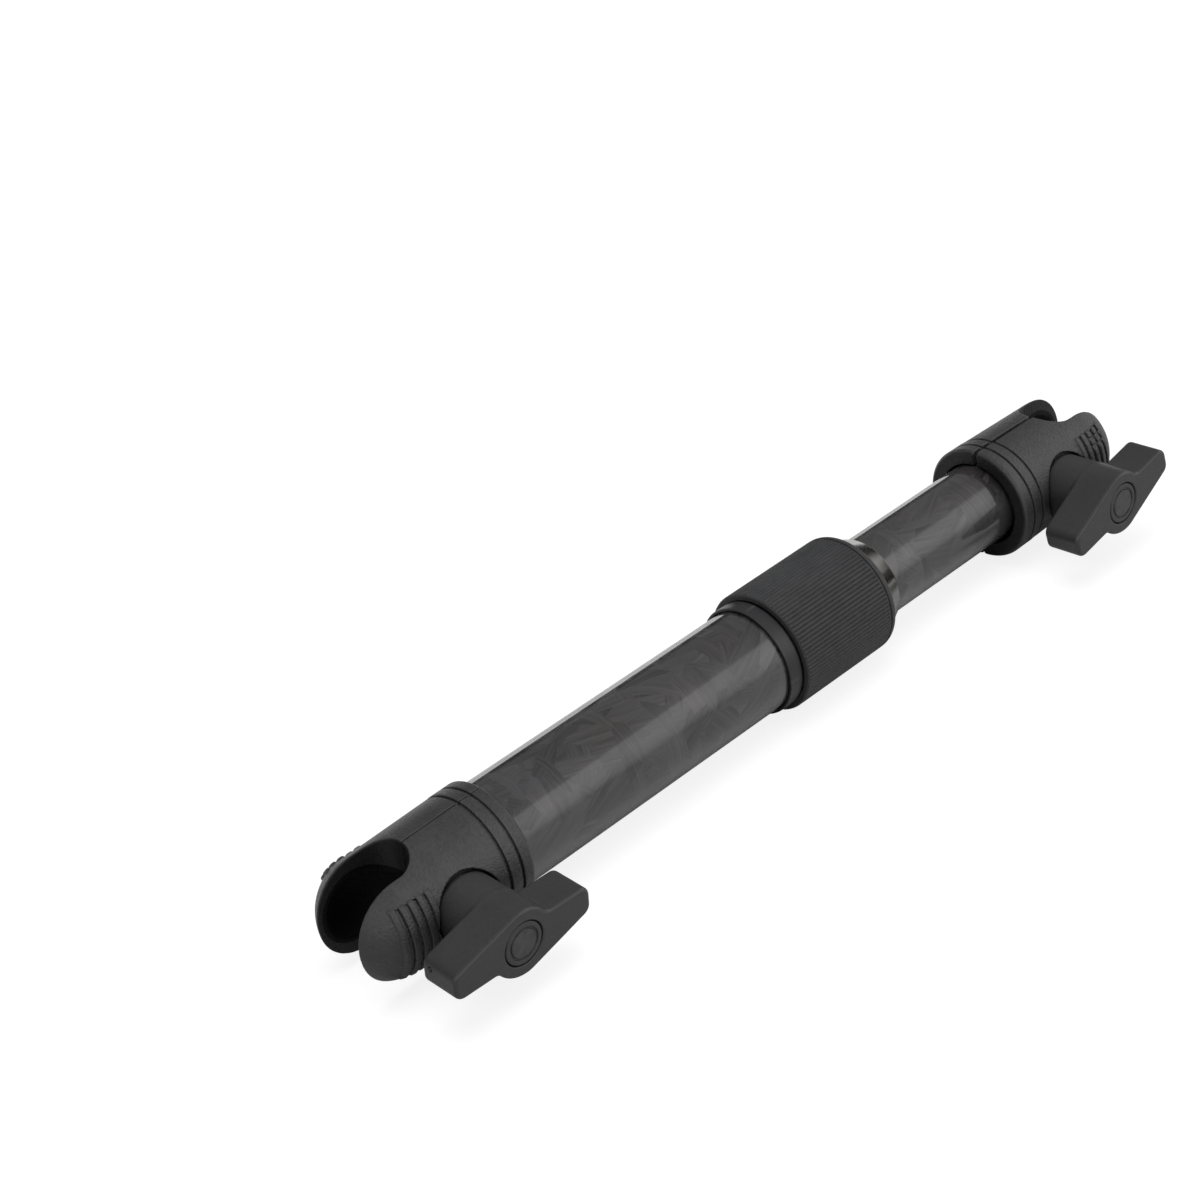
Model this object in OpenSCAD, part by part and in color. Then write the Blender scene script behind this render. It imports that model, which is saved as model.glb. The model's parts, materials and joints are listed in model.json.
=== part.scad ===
// Telescoping support arm with a split ball-socket clamp at each end.
// +X runs along the bar from the base socket to the tip socket, +Z is up,
// the wing knobs face -Y. The origin is the ball centre of the base socket.

/* [Bar] */
// Length of outer tube that shows between the base clamp and the lock ring
outer_show = 101.4; // [96:0.2:140]
// Length of inner tube that shows between the nose ring and the tip clamp at rest
inner_show = 53.5; // [53:0.1:56]
// Outside diameter of the outer tube
outer_d = 32; // [31.8:0.1:32.2]
// Outside diameter of the inner tube
inner_d = 25.9; // [25.6:0.1:26]

/* [Clamps] */
// Diameter of the ball each socket takes (one inch)
ball_d = 25.4; // [25:0.1:25.6]
// Outside diameter of the clamp's collar
clamp_d = 36.2; // [36:0.1:36.6]
// Width of the slot between the two ears
slot_w = 16; // [15:0.5:17]
// Height of the raised grip ribs on the flanks of the ears
ear_rib_h = 0.5; // [0.4:0.1:0.9]
// Roll of the tip clamp about the bar relative to the base clamp
tip_roll = 4.7; // [-30:0.1:45]
// How far the tip clamp's moving shell is backed off at rest
tip_open = 1; // [0:0.1:1.5]

/* [Knobs] */
// Tip to tip length of the wing
wing_span = 46.8; // [44:0.2:50]
// Thickness of the wing along the bolt
wing_t = 12.5; // [11:0.5:14]
// Diameter of the round stem under the wing
stem_d = 20; // [18:0.2:20.2]
// Angle of the base wing to the bar
base_turn = -3; // [-90:1:90]
// Angle of the tip wing to the bar
tip_turn = 10.4; // [-90:0.1:90]

/* [Grip] */
// Outside diameter over the ribs of the grip
grip_d = 37.7; // [37.4:0.1:39]
// Number of ribs round the grip
grip_ribs = 96; // [48:4:120]
// Depth of the grip ribs
grip_rib_h = 0.4; // [0.2:0.1:0.6]

/* [Hidden] */

$fn = 96;
fit = 0.05;      // close clearance between mating parts
lap = 0.1;       // overlap of joined or cut solids
reach = 200;     // longer than any bar piece, for through bores

// tube radii
outer_r = outer_d / 2;
inner_r = inner_d / 2;
outer_bore = outer_r - 2;
inner_bore = inner_r - 1.7;
plug_bore = 4;

// clamp stations, counted from the collar face towards the ball
tube_seat = 11.05;    // end of the bar tube
collar_bore = 11.2;
flange_u = 13.4;      // end-plug flange pocket
pocket_end = 16.5;
knob_u = 22.7;        // bolt axis
slot_u = 36.4;        // round bottom of the slot
socket_u = 40.1;      // ball centre
clamp_len = 53.9;

// stations along the bar, counted from the lock ring
base_face = -outer_show;
nose_end = 52.3;
tip_face = nose_end + inner_show;
ring_x = socket_u + outer_show;   // lock ring from the base ball centre

// distances from the bar axis along the bolt, towards the knob
floor_y = 13.5;       // floor of the spot face
stem_y = floor_y + 1.1;
face_y = 37.6;        // outer face of the wing
knob_h = face_y - stem_y;

// ---- helpers ----
module along_x() { rotate([0, 90, 0]) children(); }
module cone(x0, x1, r0, r1) { translate([x0, 0, 0]) along_x() cylinder(r1 = r0, r2 = r1, h = x1 - x0); }
module rod(x0, x1, r) { translate([x0, 0, 0]) along_x() cylinder(r = r, h = x1 - x0); }
module through(r) { rod(-reach, reach, r); }
module tube(x0, x1, outside, inside) {
  difference() {
    rod(x0, x1, outside);
    rod(x0 - 1, x1 + 1, inside);
  }
}
// cylinder towards -Y, between two distances from the bar axis
module pin(from, to, r) { translate([0, -from, 0]) rotate([90, 0, 0]) cylinder(r = r, h = to - from); }
module disc(z, r, h) { translate([0, 0, z]) cylinder(r = r, h = h); }
// hexagonal prism towards +Y, sized across flats
module hexagon(flats, h) { cylinder(r = flats / 2 / cos(30), h = h, $fn = 6); }

// bar pieces are drawn from the lock ring, clamp pieces from the collar face, ball towards +X
module bar() { translate([ring_x, 0, 0]) children(); }
module at_base() { bar() translate([base_face, 0, 0]) rotate([0, 180, 0]) children(); }
module at_tip() { bar() translate([tip_face, 0, 0]) rotate([-tip_roll, 0, 0]) children(); }
// pieces that back off with the moving shell
module backed_off() { translate([0, -tip_open, 0]) children(); }

// ---- clamp shells ----
collar_r = clamp_d / 2;
collar_len = 9.2;
ear_r = collar_r - 0.75;   // the body tapers from the collar to the ears
end_r = 15;                // rounding of the ear ends
split_gap = 0.3;           // between the two shells
bevel = 1.3;               // collar face
// collar grooves: [station, depth, width]
collar_grooves = [[4, 0.6, 0.8], [8.3, 0.7, 0.85]];

ear_rib_count = 5;
ear_rib_u = 31.85;         // first rib
ear_rib_pitch = 2.75;
ear_rib_w = 1.7;
ear_rib_z = 23;            // height of the ribbed patch
ear_rib_y = 11;            // ribs lie further than this from the split
ear_rib_limit = 40;

neck_r = 8;                // end plug
flange_r = 11.1;
dowel_u = 14.8;
dowel_z = 14.4;
head_y = 13;               // floor of the bolt head pocket

// half outline: x is the radius, y the clamp station; extra thickens the ears
module clamp_profile(extra = 0) {
  taper_u = collar_len - 0.2;
  round_u = clamp_len - end_r;
  intersection() {
    union() {
      square([collar_r, collar_len]);
      polygon([[0, taper_u], [collar_r - 0.1 + extra, taper_u], [ear_r + extra, round_u], [0, round_u]]);
      translate([ear_r - end_r, round_u]) circle(r = end_r + extra);
      square([ear_r - end_r, clamp_len + extra]);
    }
    square([60, 120]);
  }
}

module clamp_revolved() {
  along_x() rotate_extrude() difference() {
    clamp_profile();
    polygon([[collar_r - bevel, -0.5], [collar_r + 0.5, -0.5], [collar_r + 0.5, bevel]]);
    for (groove = collar_grooves)
      translate([collar_r - groove[1], groove[0]]) square([2, groove[2]]);
  }
}

// side is 1 for the +Y shell, -1 for the -Y shell
module ear_ribs(side) {
  for (i = [0:ear_rib_count - 1]) intersection() {
    along_x() rotate_extrude() clamp_profile(ear_rib_h);
    translate([ear_rib_u + ear_rib_pitch * i, side > 0 ? ear_rib_y : -ear_rib_limit, -ear_rib_z / 2])
      cube([ear_rib_w, ear_rib_limit - ear_rib_y, ear_rib_z]);
  }
}

module shell_blank(side) {
  intersection() {
    union() {
      clamp_revolved();
      ear_ribs(side);
    }
    translate([-5, side > 0 ? 0 : -30 - split_gap, -30]) cube([70, 30, 60]);
  }
}

module clamp_cuts(bore_r) {
  rod(-1, collar_bore, bore_r);
  rod(collar_bore - 0.5, flange_u, neck_r + 0.25);
  rod(flange_u - lap, pocket_end, flange_r + 0.2);
  // slot between the ears
  translate([0, 0, -30]) linear_extrude(60) union() {
    translate([slot_u, 0]) circle(d = slot_w);
    translate([slot_u, -slot_w / 2]) square([40, slot_w]);
  }
  translate([socket_u, -split_gap / 2, 0]) sphere(d = ball_d);
  // bolt hole, wider in the middle
  translate([knob_u, 0, 0]) {
    pin(-40, 40, 3.4);
    pin(-7, 7, 4.6);
  }
}

// pair of pins across the split, one each side of the bolt plane
module dowels(from, to, r) {
  for (side = [-1, 1]) translate([dowel_u, 0, side * dowel_z]) pin(from, to, r);
}

module shell_fixed(bore_r) {
  color("#232325") union() {
    difference() {
      shell_blank(1);
      clamp_cuts(bore_r);
      // pocket for the bolt head
      translate([knob_u, head_y, 0]) rotate([-90, 0, 0]) hexagon(11.4, 12);
    }
    dowels(-2, 4, 1.3);
  }
}

module shell_moving(bore_r) {
  color("#232325") difference() {
    shell_blank(-1);
    clamp_cuts(bore_r);
    // round spot face the knob stem runs into
    translate([knob_u, 0, 0]) pin(floor_y, 30, stem_d / 2 + 0.6);
    dowels(-1, 4.8, 1.4);
  }
}

// ---- clamp bolt and spring ----
bolt_r = 3.175;       // quarter-inch bolt
bolt_end = 31;
bolt_bevel = 1;       // length of the tapered end
head_h = 4;

module clamp_bolt() {
  color("#c3c5c8") translate([knob_u, 0, 0]) union() {
    // hexagonal head with bevelled corners
    translate([0, head_y + fit, 0]) rotate([-90, 0, 0]) intersection() {
      hexagon(11.11, head_h);
      cylinder(r1 = 9.4, r2 = 5.4, h = head_h);
    }
    pin(-head_y - 0.5, bolt_end - bolt_bevel, bolt_r);
    translate([0, bolt_bevel - bolt_end, 0]) rotate([90, 0, 0])
      cylinder(r1 = bolt_r, r2 = bolt_r - 0.9, h = bolt_bevel);
  }
}

spring_turns = 5.5;
spring_y = 6.7;       // each end of the closed spring from the bar axis
coil_r = 3.95;        // to the middle of the wire
wire_d = 0.8;
wire_sides = 10;

// coil spring between the shells: the section is drawn as an arc so the wire stays round
module clamp_spring(open) {
  spring_h = 2 * spring_y + open;
  half_angle = 180 * wire_d * spring_turns / spring_h;
  function wire_point(t) = let(r = coil_r + wire_d / 2 * cos(t), angle = half_angle * sin(t))
    [r * cos(angle), r * sin(angle)];
  color("#b9bbbe") translate([knob_u, spring_y, 0]) rotate([90, 0, 0])
    linear_extrude(height = spring_h, twist = -360 * spring_turns, slices = 88, $fn = wire_sides)
      polygon([for (i = [0:wire_sides - 1]) wire_point(360 / wire_sides * i)]);
}

// ---- wing knob: drawn with its axis on +Z, then turned to face -Y ----
hub_r = stem_d / 2;
half_span = wing_span / 2;
flat_y = 4.9;         // half-height of the flat side of a wing
slope = 17.3;         // angle of the sloping side
fillet_r = 3;         // between flat side and hub
corner_r = 3;         // wing tips
insert_r = 5;
cap_r = 6.3;
cap_depth = 1.6;      // seat of the cap disc
// insert lands and grooves: [station, radius, length]
insert_steps = [
  [0.1, insert_r, 4.4], [4.4, 4.5, 2.4], [6.7, insert_r, 4.4], [11, 4.5, 2.4], [13.3, insert_r, 2.6]
];

// the lower tip corner lies on the sloping side moved in by the corner radius
corner_x = half_span - corner_r;
low_corner = [corner_x, -(hub_r - corner_r) / cos(slope) + corner_x * tan(slope)];
top_corner = [corner_x, flat_y - corner_r];
fillet_y = flat_y + fillet_r;
fillet_centre = [sqrt(pow(hub_r + fillet_r, 2) - pow(fillet_y, 2)), fillet_y];
fillet_angle = atan2(fillet_centre[1], fillet_centre[0]);

function arc(centre, r, start, end, steps) = [
  for (i = [0:steps]) let(angle = start + (end - start) * i / steps)
    [centre[0] + r * cos(angle), centre[1] + r * sin(angle)]
];
half_wing = concat(
  arc(low_corner, corner_r, slope - 90, 0, 8),
  arc(top_corner, corner_r, 0, 90, 8),
  arc(fillet_centre, fillet_r, 270, 180 + fillet_angle, 6),
  arc([0, 0], hub_r, fillet_angle + 2, 90 + slope - 4, 14));

module knob_place(turn) {
  translate([knob_u, -stem_y, 0]) rotate([90, 0, 0]) rotate([0, 0, turn]) children();
}

module knob_body(turn) {
  wing_z = knob_h - wing_t;
  color("#262628") knob_place(turn) difference() {
    union() {
      cylinder(r = hub_r - 0.05, h = wing_z + 0.5);
      translate([0, 0, wing_z]) linear_extrude(wing_t)
        polygon(concat(half_wing, [for (point = half_wing) -point]));
    }
    disc(-1, insert_r + fit, 17);
    disc(15.5, 3.7, 4.8);   // room for the bolt end
    disc(knob_h - cap_depth, cap_r + 0.2, 3);
  }
}

module knob_insert(turn) {
  color("#b08d3e") knob_place(turn) difference() {
    union() {
      for (step = insert_steps) disc(step[0], step[1], step[2]);
    }
    disc(-1, 3.25, 20);
  }
}

module knob_washer(turn) {
  color("#2a2a2c") knob_place(turn) difference() {
    disc(-1.02, 9.4, 0.95);
    disc(-2, 3.4, 3);
  }
}

module knob_cap(turn) {
  groove_z = knob_h - 0.45;
  color("#202022") knob_place(turn) difference() {
    disc(knob_h - cap_depth + fit, cap_r, 1.45);
    // ring groove in the outer face
    difference() {
      disc(groove_z, 4.75, 1);
      disc(groove_z - 1, 4.3, 3);
    }
  }
}

// ---- bar ----
tube_end = 4.5;         // outer tube inside the lock ring
ring_r = 17.1;          // lock ring
ring_start = 0.05;
ring_end = 5.05;
ring_bevel = 0.3;
thread_x = 6.6;         // first thread land, also the start of the nut and the grip ribs
thread_lands = 12;
thread_pitch = 1.5;
land_w = 0.9;
land_r = 15.9;
ferrule_end = 24.5;
nut_r = 16.98;
lip_x = 38.2;           // inner lip of the nut
seal_x = 39.4;          // seal seat
nose_x = 43;            // nose ring seat
seal_r = 15.4;
// bores of the lock nut: [start, end, radius]
nut_bores = [
  [0, 24.8, land_r + 0.15], [24.7, lip_x, 15.4], [38, 40, inner_r + 0.4],
  [seal_x, nose_x + lap, seal_r + 0.1], [nose_x, 50, 16]
];
shoulder_x = 42.5;      // rounded shoulder of the grip
shoulder_r = 2.2;
tail_x = -42;           // end of the inner tube inside the outer
bush_end = -33.5;

// flanged plug in a tube end, held by the pocket in the shells
module end_plug(bore_r, spigot_len) {
  color("#8d9094") difference() {
    union() {
      rod(tube_seat - spigot_len, tube_seat + lap, bore_r - fit);
      rod(tube_seat, flange_u + lap, neck_r);
      rod(flange_u + fit, pocket_end - 0.15, flange_r);
    }
    through(plug_bore);
  }
}

module outer_tube() {
  color("#3a3a3d") bar() tube(base_face - tube_seat, tube_end, outer_r, outer_bore);
}

module lock_ferrule() {
  bevel_r = ring_r - ring_bevel;
  color("#2b2b2d") bar() difference() {
    union() {
      rod(-14, 6, outer_bore - fit);
      // lock ring, bevelled on both edges
      rod(ring_start + ring_bevel, ring_end - ring_bevel, ring_r);
      cone(ring_start, ring_start + ring_bevel, bevel_r, ring_r);
      cone(ring_end - ring_bevel, ring_end, ring_r, bevel_r);
      rod(5, 6.4, 15.3);
      for (i = [0:thread_lands - 1])
        let(x = thread_x + thread_pitch * i) rod(x, x + land_w, land_r);
      rod(6.3, ferrule_end, 15.5);
    }
    // socket for the tube end
    tube(-1, tube_end + fit, outer_r + 0.03, outer_bore - fit);
    through(inner_r + 0.08);
    // flared mouth round the collet
    cone(ferrule_end - 2, ferrule_end + 0.01, inner_r + 0.2, inner_r + 2.21);
  }
}

module lock_nut() {
  color("#2b2b2d") bar() difference() {
    rod(thread_x, 45, nut_r);
    for (bore = nut_bores) rod(bore[0], bore[1], bore[2]);
  }
}

module grip_sleeve() {
  grip_r = grip_d / 2;
  edge_r = grip_r - 0.2;
  function rib_point(i, r) = let(angle = 360 * i / (4 * grip_ribs)) [r * cos(angle), r * sin(angle)];
  color("#1f1f21") bar() difference() {
    union() {
      cone(5.65, 6, grip_r - 0.55, edge_r);
      rod(5.99, thread_x + lap, edge_r);
      // ribbed band: two points on each crest, two in each valley
      translate([thread_x, 0, 0]) along_x() linear_extrude(35.6)
        polygon([for (i = [0:4 * grip_ribs - 1])
          rib_point(i, (i % 4) < 2 ? grip_r : grip_r - grip_rib_h)]);
      // smooth band and rounded shoulder at the nose end
      rod(42.1, shoulder_x + lap, grip_r - 0.45);
      along_x() rotate_extrude() intersection() {
        union() {
          translate([0, shoulder_x]) square([grip_r, 0.6]);
          translate([grip_r - shoulder_r, shoulder_x + 0.6]) circle(r = shoulder_r);
        }
        translate([10, shoulder_x]) square([20, 5.5]);
      }
    }
    through(nut_r + 0.04);
  }
}

module nose_ring() {
  cone_x = 45.4;      // foot of the long cone
  cone_r = 16.85;
  color("#2f2f32") bar() difference() {
    union() {
      rod(nose_x + 0.15, cone_x, 15.95);
      cone(cone_x - 0.3, cone_x, cone_r - 0.25, cone_r);
      cone(cone_x - 0.01, nose_end - 0.2, cone_r, 13.7);
      cone(nose_end - 0.21, nose_end, 13.68, 13.45);
    }
    through(inner_r + 0.2);
  }
}

module thrust_washer() {
  color("#a9acb0") bar() tube(lip_x - 1.15, lip_x - 0.1, 15.2, inner_r + 0.3);
}

module wiper_seal() {
  color("#151516") bar() difference() {
    tube(seal_x + 0.1, nose_x, seal_r, inner_r + 0.1);
    // closed ring-shaped cavity
    tube(40.3, 42.2, 14.7, inner_r + 0.8);
  }
}

module collet() {
  taper_end = 24.7;
  body_end = 35.4;
  body_r = inner_r + 2.1;
  color("#d9d6c8") bar() difference() {
    union() {
      cone(22.8, taper_end, inner_r + 0.3, body_r);
      rod(taper_end - 0.01, body_end, body_r);
      cone(body_end - 0.01, body_end + 1, body_r, inner_r + 1.4);
    }
    through(inner_r + fit);
    // crossed slots
    for (angle = [0, 90]) rotate([angle, 0, 0]) translate([28, -0.6, -20]) cube([20, 1.2, 40]);
    // slit that lets the ring close on the tube
    translate([20, -0.5, 0]) cube([30, 1, 20]);
  }
}

module guide_bush() {
  color("#d9d6c8") bar() difference() {
    tube(tail_x + 0.1, bush_end, outer_bore - 0.06, inner_r + 0.06);
    // groove round the outside
    tube(-38.6, -36.8, 20, outer_bore - 0.4);
  }
}

module inner_tube() {
  color("#3a3a3d") bar() tube(tail_x, tip_face + tube_seat, inner_r, inner_bore);
}

module tail_plug() {
  color("#8d9094") bar() difference() {
    union() {
      rod(tail_x - lap, -33, inner_bore - fit);
      rod(tail_x - 3, tail_x - fit, inner_r + 0.65);
    }
    through(plug_bore);
  }
}

module stop_ring() {
  color("#8d9094") bar() tube(bush_end + 0.1, bush_end + 2.1, outer_bore - 0.25, inner_r + 0.02);
}

// collar bores of the two clamps
base_bore = outer_r + 0.2;
tip_bore = inner_r + 0.5;

outer_tube();
lock_ferrule();
at_base() end_plug(outer_bore, 15.4);  // base_end_plug
at_base() shell_fixed(base_bore);  // base_shell_fixed
at_base() clamp_bolt();  // base_clamp_bolt
at_base() clamp_spring(0);  // base_clamp_spring
at_base() shell_moving(base_bore);  // base_shell_moving
at_base() knob_body(base_turn);  // base_knob_body
at_base() knob_insert(base_turn);  // base_knob_insert
at_base() knob_washer(base_turn);  // base_knob_washer
at_base() knob_cap(base_turn);  // base_knob_cap
lock_nut();
grip_sleeve();
nose_ring();
thrust_washer();
wiper_seal();
collet();
guide_bush();
inner_tube();
at_tip() end_plug(inner_bore, 15);  // tip_end_plug
tail_plug();
stop_ring();
at_tip() shell_fixed(tip_bore);  // tip_shell_fixed
at_tip() clamp_bolt();  // tip_clamp_bolt
at_tip() clamp_spring(tip_open);  // tip_clamp_spring
at_tip() backed_off() shell_moving(tip_bore);  // tip_shell_moving
at_tip() backed_off() knob_body(tip_turn);  // tip_knob_body
at_tip() backed_off() knob_insert(tip_turn);  // tip_knob_insert
at_tip() backed_off() knob_washer(tip_turn);  // tip_knob_washer
at_tip() backed_off() knob_cap(tip_turn);  // tip_knob_cap
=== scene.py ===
"""Telescopic forged-carbon bar with a ball-socket clamp and wing knob at each end.

The bar lies along X. The base clamp is at the -X end with its ball socket at the origin, and the
tip clamp is at the +X end, rolled about X. A lock ferrule, ribbed grip and nose ring sit where
the inner tube leaves the outer one. Shapes are drawn in millimetres and scaled to metres as
their meshes are made; materials, lights and camera are in metres.
"""
import json
import math
from collections import namedtuple

import bpy
import numpy as np
from mathutils import Matrix, Vector


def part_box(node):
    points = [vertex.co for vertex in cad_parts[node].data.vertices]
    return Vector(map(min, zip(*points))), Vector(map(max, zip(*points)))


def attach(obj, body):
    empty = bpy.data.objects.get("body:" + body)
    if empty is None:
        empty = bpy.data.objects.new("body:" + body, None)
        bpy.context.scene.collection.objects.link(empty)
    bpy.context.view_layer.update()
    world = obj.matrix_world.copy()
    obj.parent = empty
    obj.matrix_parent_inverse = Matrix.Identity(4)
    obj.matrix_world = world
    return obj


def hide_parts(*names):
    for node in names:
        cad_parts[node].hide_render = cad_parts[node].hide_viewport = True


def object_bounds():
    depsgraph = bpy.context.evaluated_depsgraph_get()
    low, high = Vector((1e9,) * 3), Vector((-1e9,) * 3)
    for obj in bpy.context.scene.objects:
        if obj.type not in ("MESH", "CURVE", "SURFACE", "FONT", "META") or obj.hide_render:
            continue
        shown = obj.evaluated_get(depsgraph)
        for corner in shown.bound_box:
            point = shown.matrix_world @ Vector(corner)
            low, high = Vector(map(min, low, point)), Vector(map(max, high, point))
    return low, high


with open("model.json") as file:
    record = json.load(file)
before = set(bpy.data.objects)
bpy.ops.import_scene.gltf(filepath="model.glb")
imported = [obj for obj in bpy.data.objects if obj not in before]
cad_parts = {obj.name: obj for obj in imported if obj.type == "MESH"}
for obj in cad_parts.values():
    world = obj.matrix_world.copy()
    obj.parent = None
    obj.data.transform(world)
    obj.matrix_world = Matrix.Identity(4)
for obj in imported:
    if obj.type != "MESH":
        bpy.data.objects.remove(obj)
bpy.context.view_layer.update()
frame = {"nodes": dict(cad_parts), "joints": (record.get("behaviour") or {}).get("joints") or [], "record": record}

# ------------------------------------------------------------------ sizes from the CAD, in mm
MM = 1000.0  # millimetres in a metre


def box_mm(node):
    lo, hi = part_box(node)
    return np.array(lo) * MM, np.array(hi) * MM


def radius_of(node):
    lo, hi = box_mm(node)
    return (hi[1] - lo[1]) / 2


BASE_FACE = box_mm("base_shell_fixed")[1][0]  # collar face of the base clamp
TIP_FACE = box_mm("tip_shell_fixed")[0][0]    # collar face of the tip clamp
TUBE_IN_RING = 4.5                            # outer tube's reach past the lock ring's shoulder
RING_X = box_mm("outer_tube")[1][0] - TUBE_IN_RING
OUTER_R = radius_of("outer_tube")
INNER_R = radius_of("inner_tube")
COLLAR_R = box_mm("base_shell_fixed")[1][2]
GRIP_R = box_mm("grip_sleeve")[1][2]
NOSE_END = box_mm("nose_ring")[1][0] - RING_X

slide_axis = [j for j in frame["joints"] if j["name"] == "tip_jaw_slide"][0]["axis"]
TIP_ROLL = math.atan2(slide_axis[2], -slide_axis[1])
TIP_OPEN = 1.0    # how far the tip's moving jaw stands open
JAW_GAP = 0.3     # between the shells of a clamp
KNOB_X = 22.7     # knob axis, from the collar face
STEM_Y = 14.6     # foot of the knob's stem, from the clamp axis
KNOB_H = 23.0
WING_T = 12.5
WING_FOOT = KNOB_H - WING_T


# ------------------------------------------------------------------ clamp and knob frames
# Clamp frame: x from the collar face towards the ears, the fixed shell on +y, the moving on -y.
# Knob frame: x along the wings, y across them, z from the foot of the stem outwards.
def base_dir(vectors):
    return np.array(vectors, float) * (-1, 1, -1)


def base_map(points):
    return base_dir(points) + np.array([BASE_FACE, 0, 0])


def tip_dir(vectors):
    x, y, z = np.array(vectors, float).T
    cos, sin = math.cos(TIP_ROLL), math.sin(TIP_ROLL)
    return np.stack([x, y * cos + z * sin, -y * sin + z * cos], 1)


def tip_map(points):
    return tip_dir(points) + np.array([TIP_FACE, 0, 0])


def tip_map_open(points):
    return tip_map(np.array(points, float) - (0, TIP_OPEN, 0))


def knob_dir(vectors, angle):
    x, y, z = vectors.T
    cos, sin = math.cos(angle), math.sin(angle)
    return np.stack([x * cos - y * sin, -z, x * sin + y * cos], 1)


def knob_map(points, angle):
    return knob_dir(points, angle) + np.array([KNOB_X, -STEM_Y, 0])


# ------------------------------------------------------------------ meshes
def link_object(name, data):
    ob = bpy.data.objects.new(name, data)
    bpy.context.scene.collection.objects.link(ob)
    return ob


def smooth_object(name, mesh, normals):
    """Object of a smooth-shaded mesh with its own vertex normals."""
    mesh.polygons.foreach_set("use_smooth", np.ones(len(mesh.polygons), bool))
    length = np.linalg.norm(normals, axis=1, keepdims=True)
    unit = normals / np.maximum(length, 1e-12)
    mesh.normals_split_custom_set_from_vertices([tuple(n) for n in unit])
    return link_object(name, mesh)


def quad_object(name, points_mm, quads, normals):
    mesh = bpy.data.meshes.new(name)
    points = np.asarray(points_mm, float) / MM
    quads = np.asarray(quads, int)
    mesh.vertices.add(len(points))
    mesh.vertices.foreach_set("co", points.astype(np.float32).ravel())
    faces, corners = quads.shape
    mesh.loops.add(faces * corners)
    mesh.loops.foreach_set("vertex_index", quads.astype(np.int32).ravel())
    mesh.polygons.add(faces)
    mesh.polygons.foreach_set("loop_start", (np.arange(faces) * corners).astype(np.int32))
    mesh.update(calc_edges=True)
    mesh.validate()
    return smooth_object(name, mesh, np.asarray(normals, float))


def add_piece(ob, material, body, cad_node):
    """Give a piece its material, tie it to a moving body and let it stand in for a CAD node."""
    ob.data.materials.clear()
    ob.data.materials.append(material)
    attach(ob, body)
    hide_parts(cad_node)


# ------------------------------------------------------------------ solids from distance fields
# A field is negative inside the solid. `soft` is the width over which two surfaces blend.
def smooth_max(one, other, soft):
    near = np.clip(soft - np.abs(one - other), 0, None) / soft
    return np.maximum(one, other) + near * near * soft * 0.25


def smooth_min(one, other, soft):
    return -smooth_max(-one, -other, soft)


def carve(form, tool, soft):
    return smooth_max(form, -tool, soft)


def axis_steps(lo, hi, bands, coarse):
    """Grid stations from lo to hi: coarse steps, finer inside the bands (from, to, step)."""
    out = [lo]
    while out[-1] < hi:
        x = out[-1]
        step = coarse
        for start, end, fine in bands:
            if start <= x < end:
                step = min(step, fine)
        for start, _, _ in bands:
            if x < start < x + step:
                step = start - x
        out.append(x + max(step, 0.05))
    return np.array(out)


PULLS = 3        # times the vertices are pulled onto the surface
PROBE = 0.015    # half the distance a gradient is measured over


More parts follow.
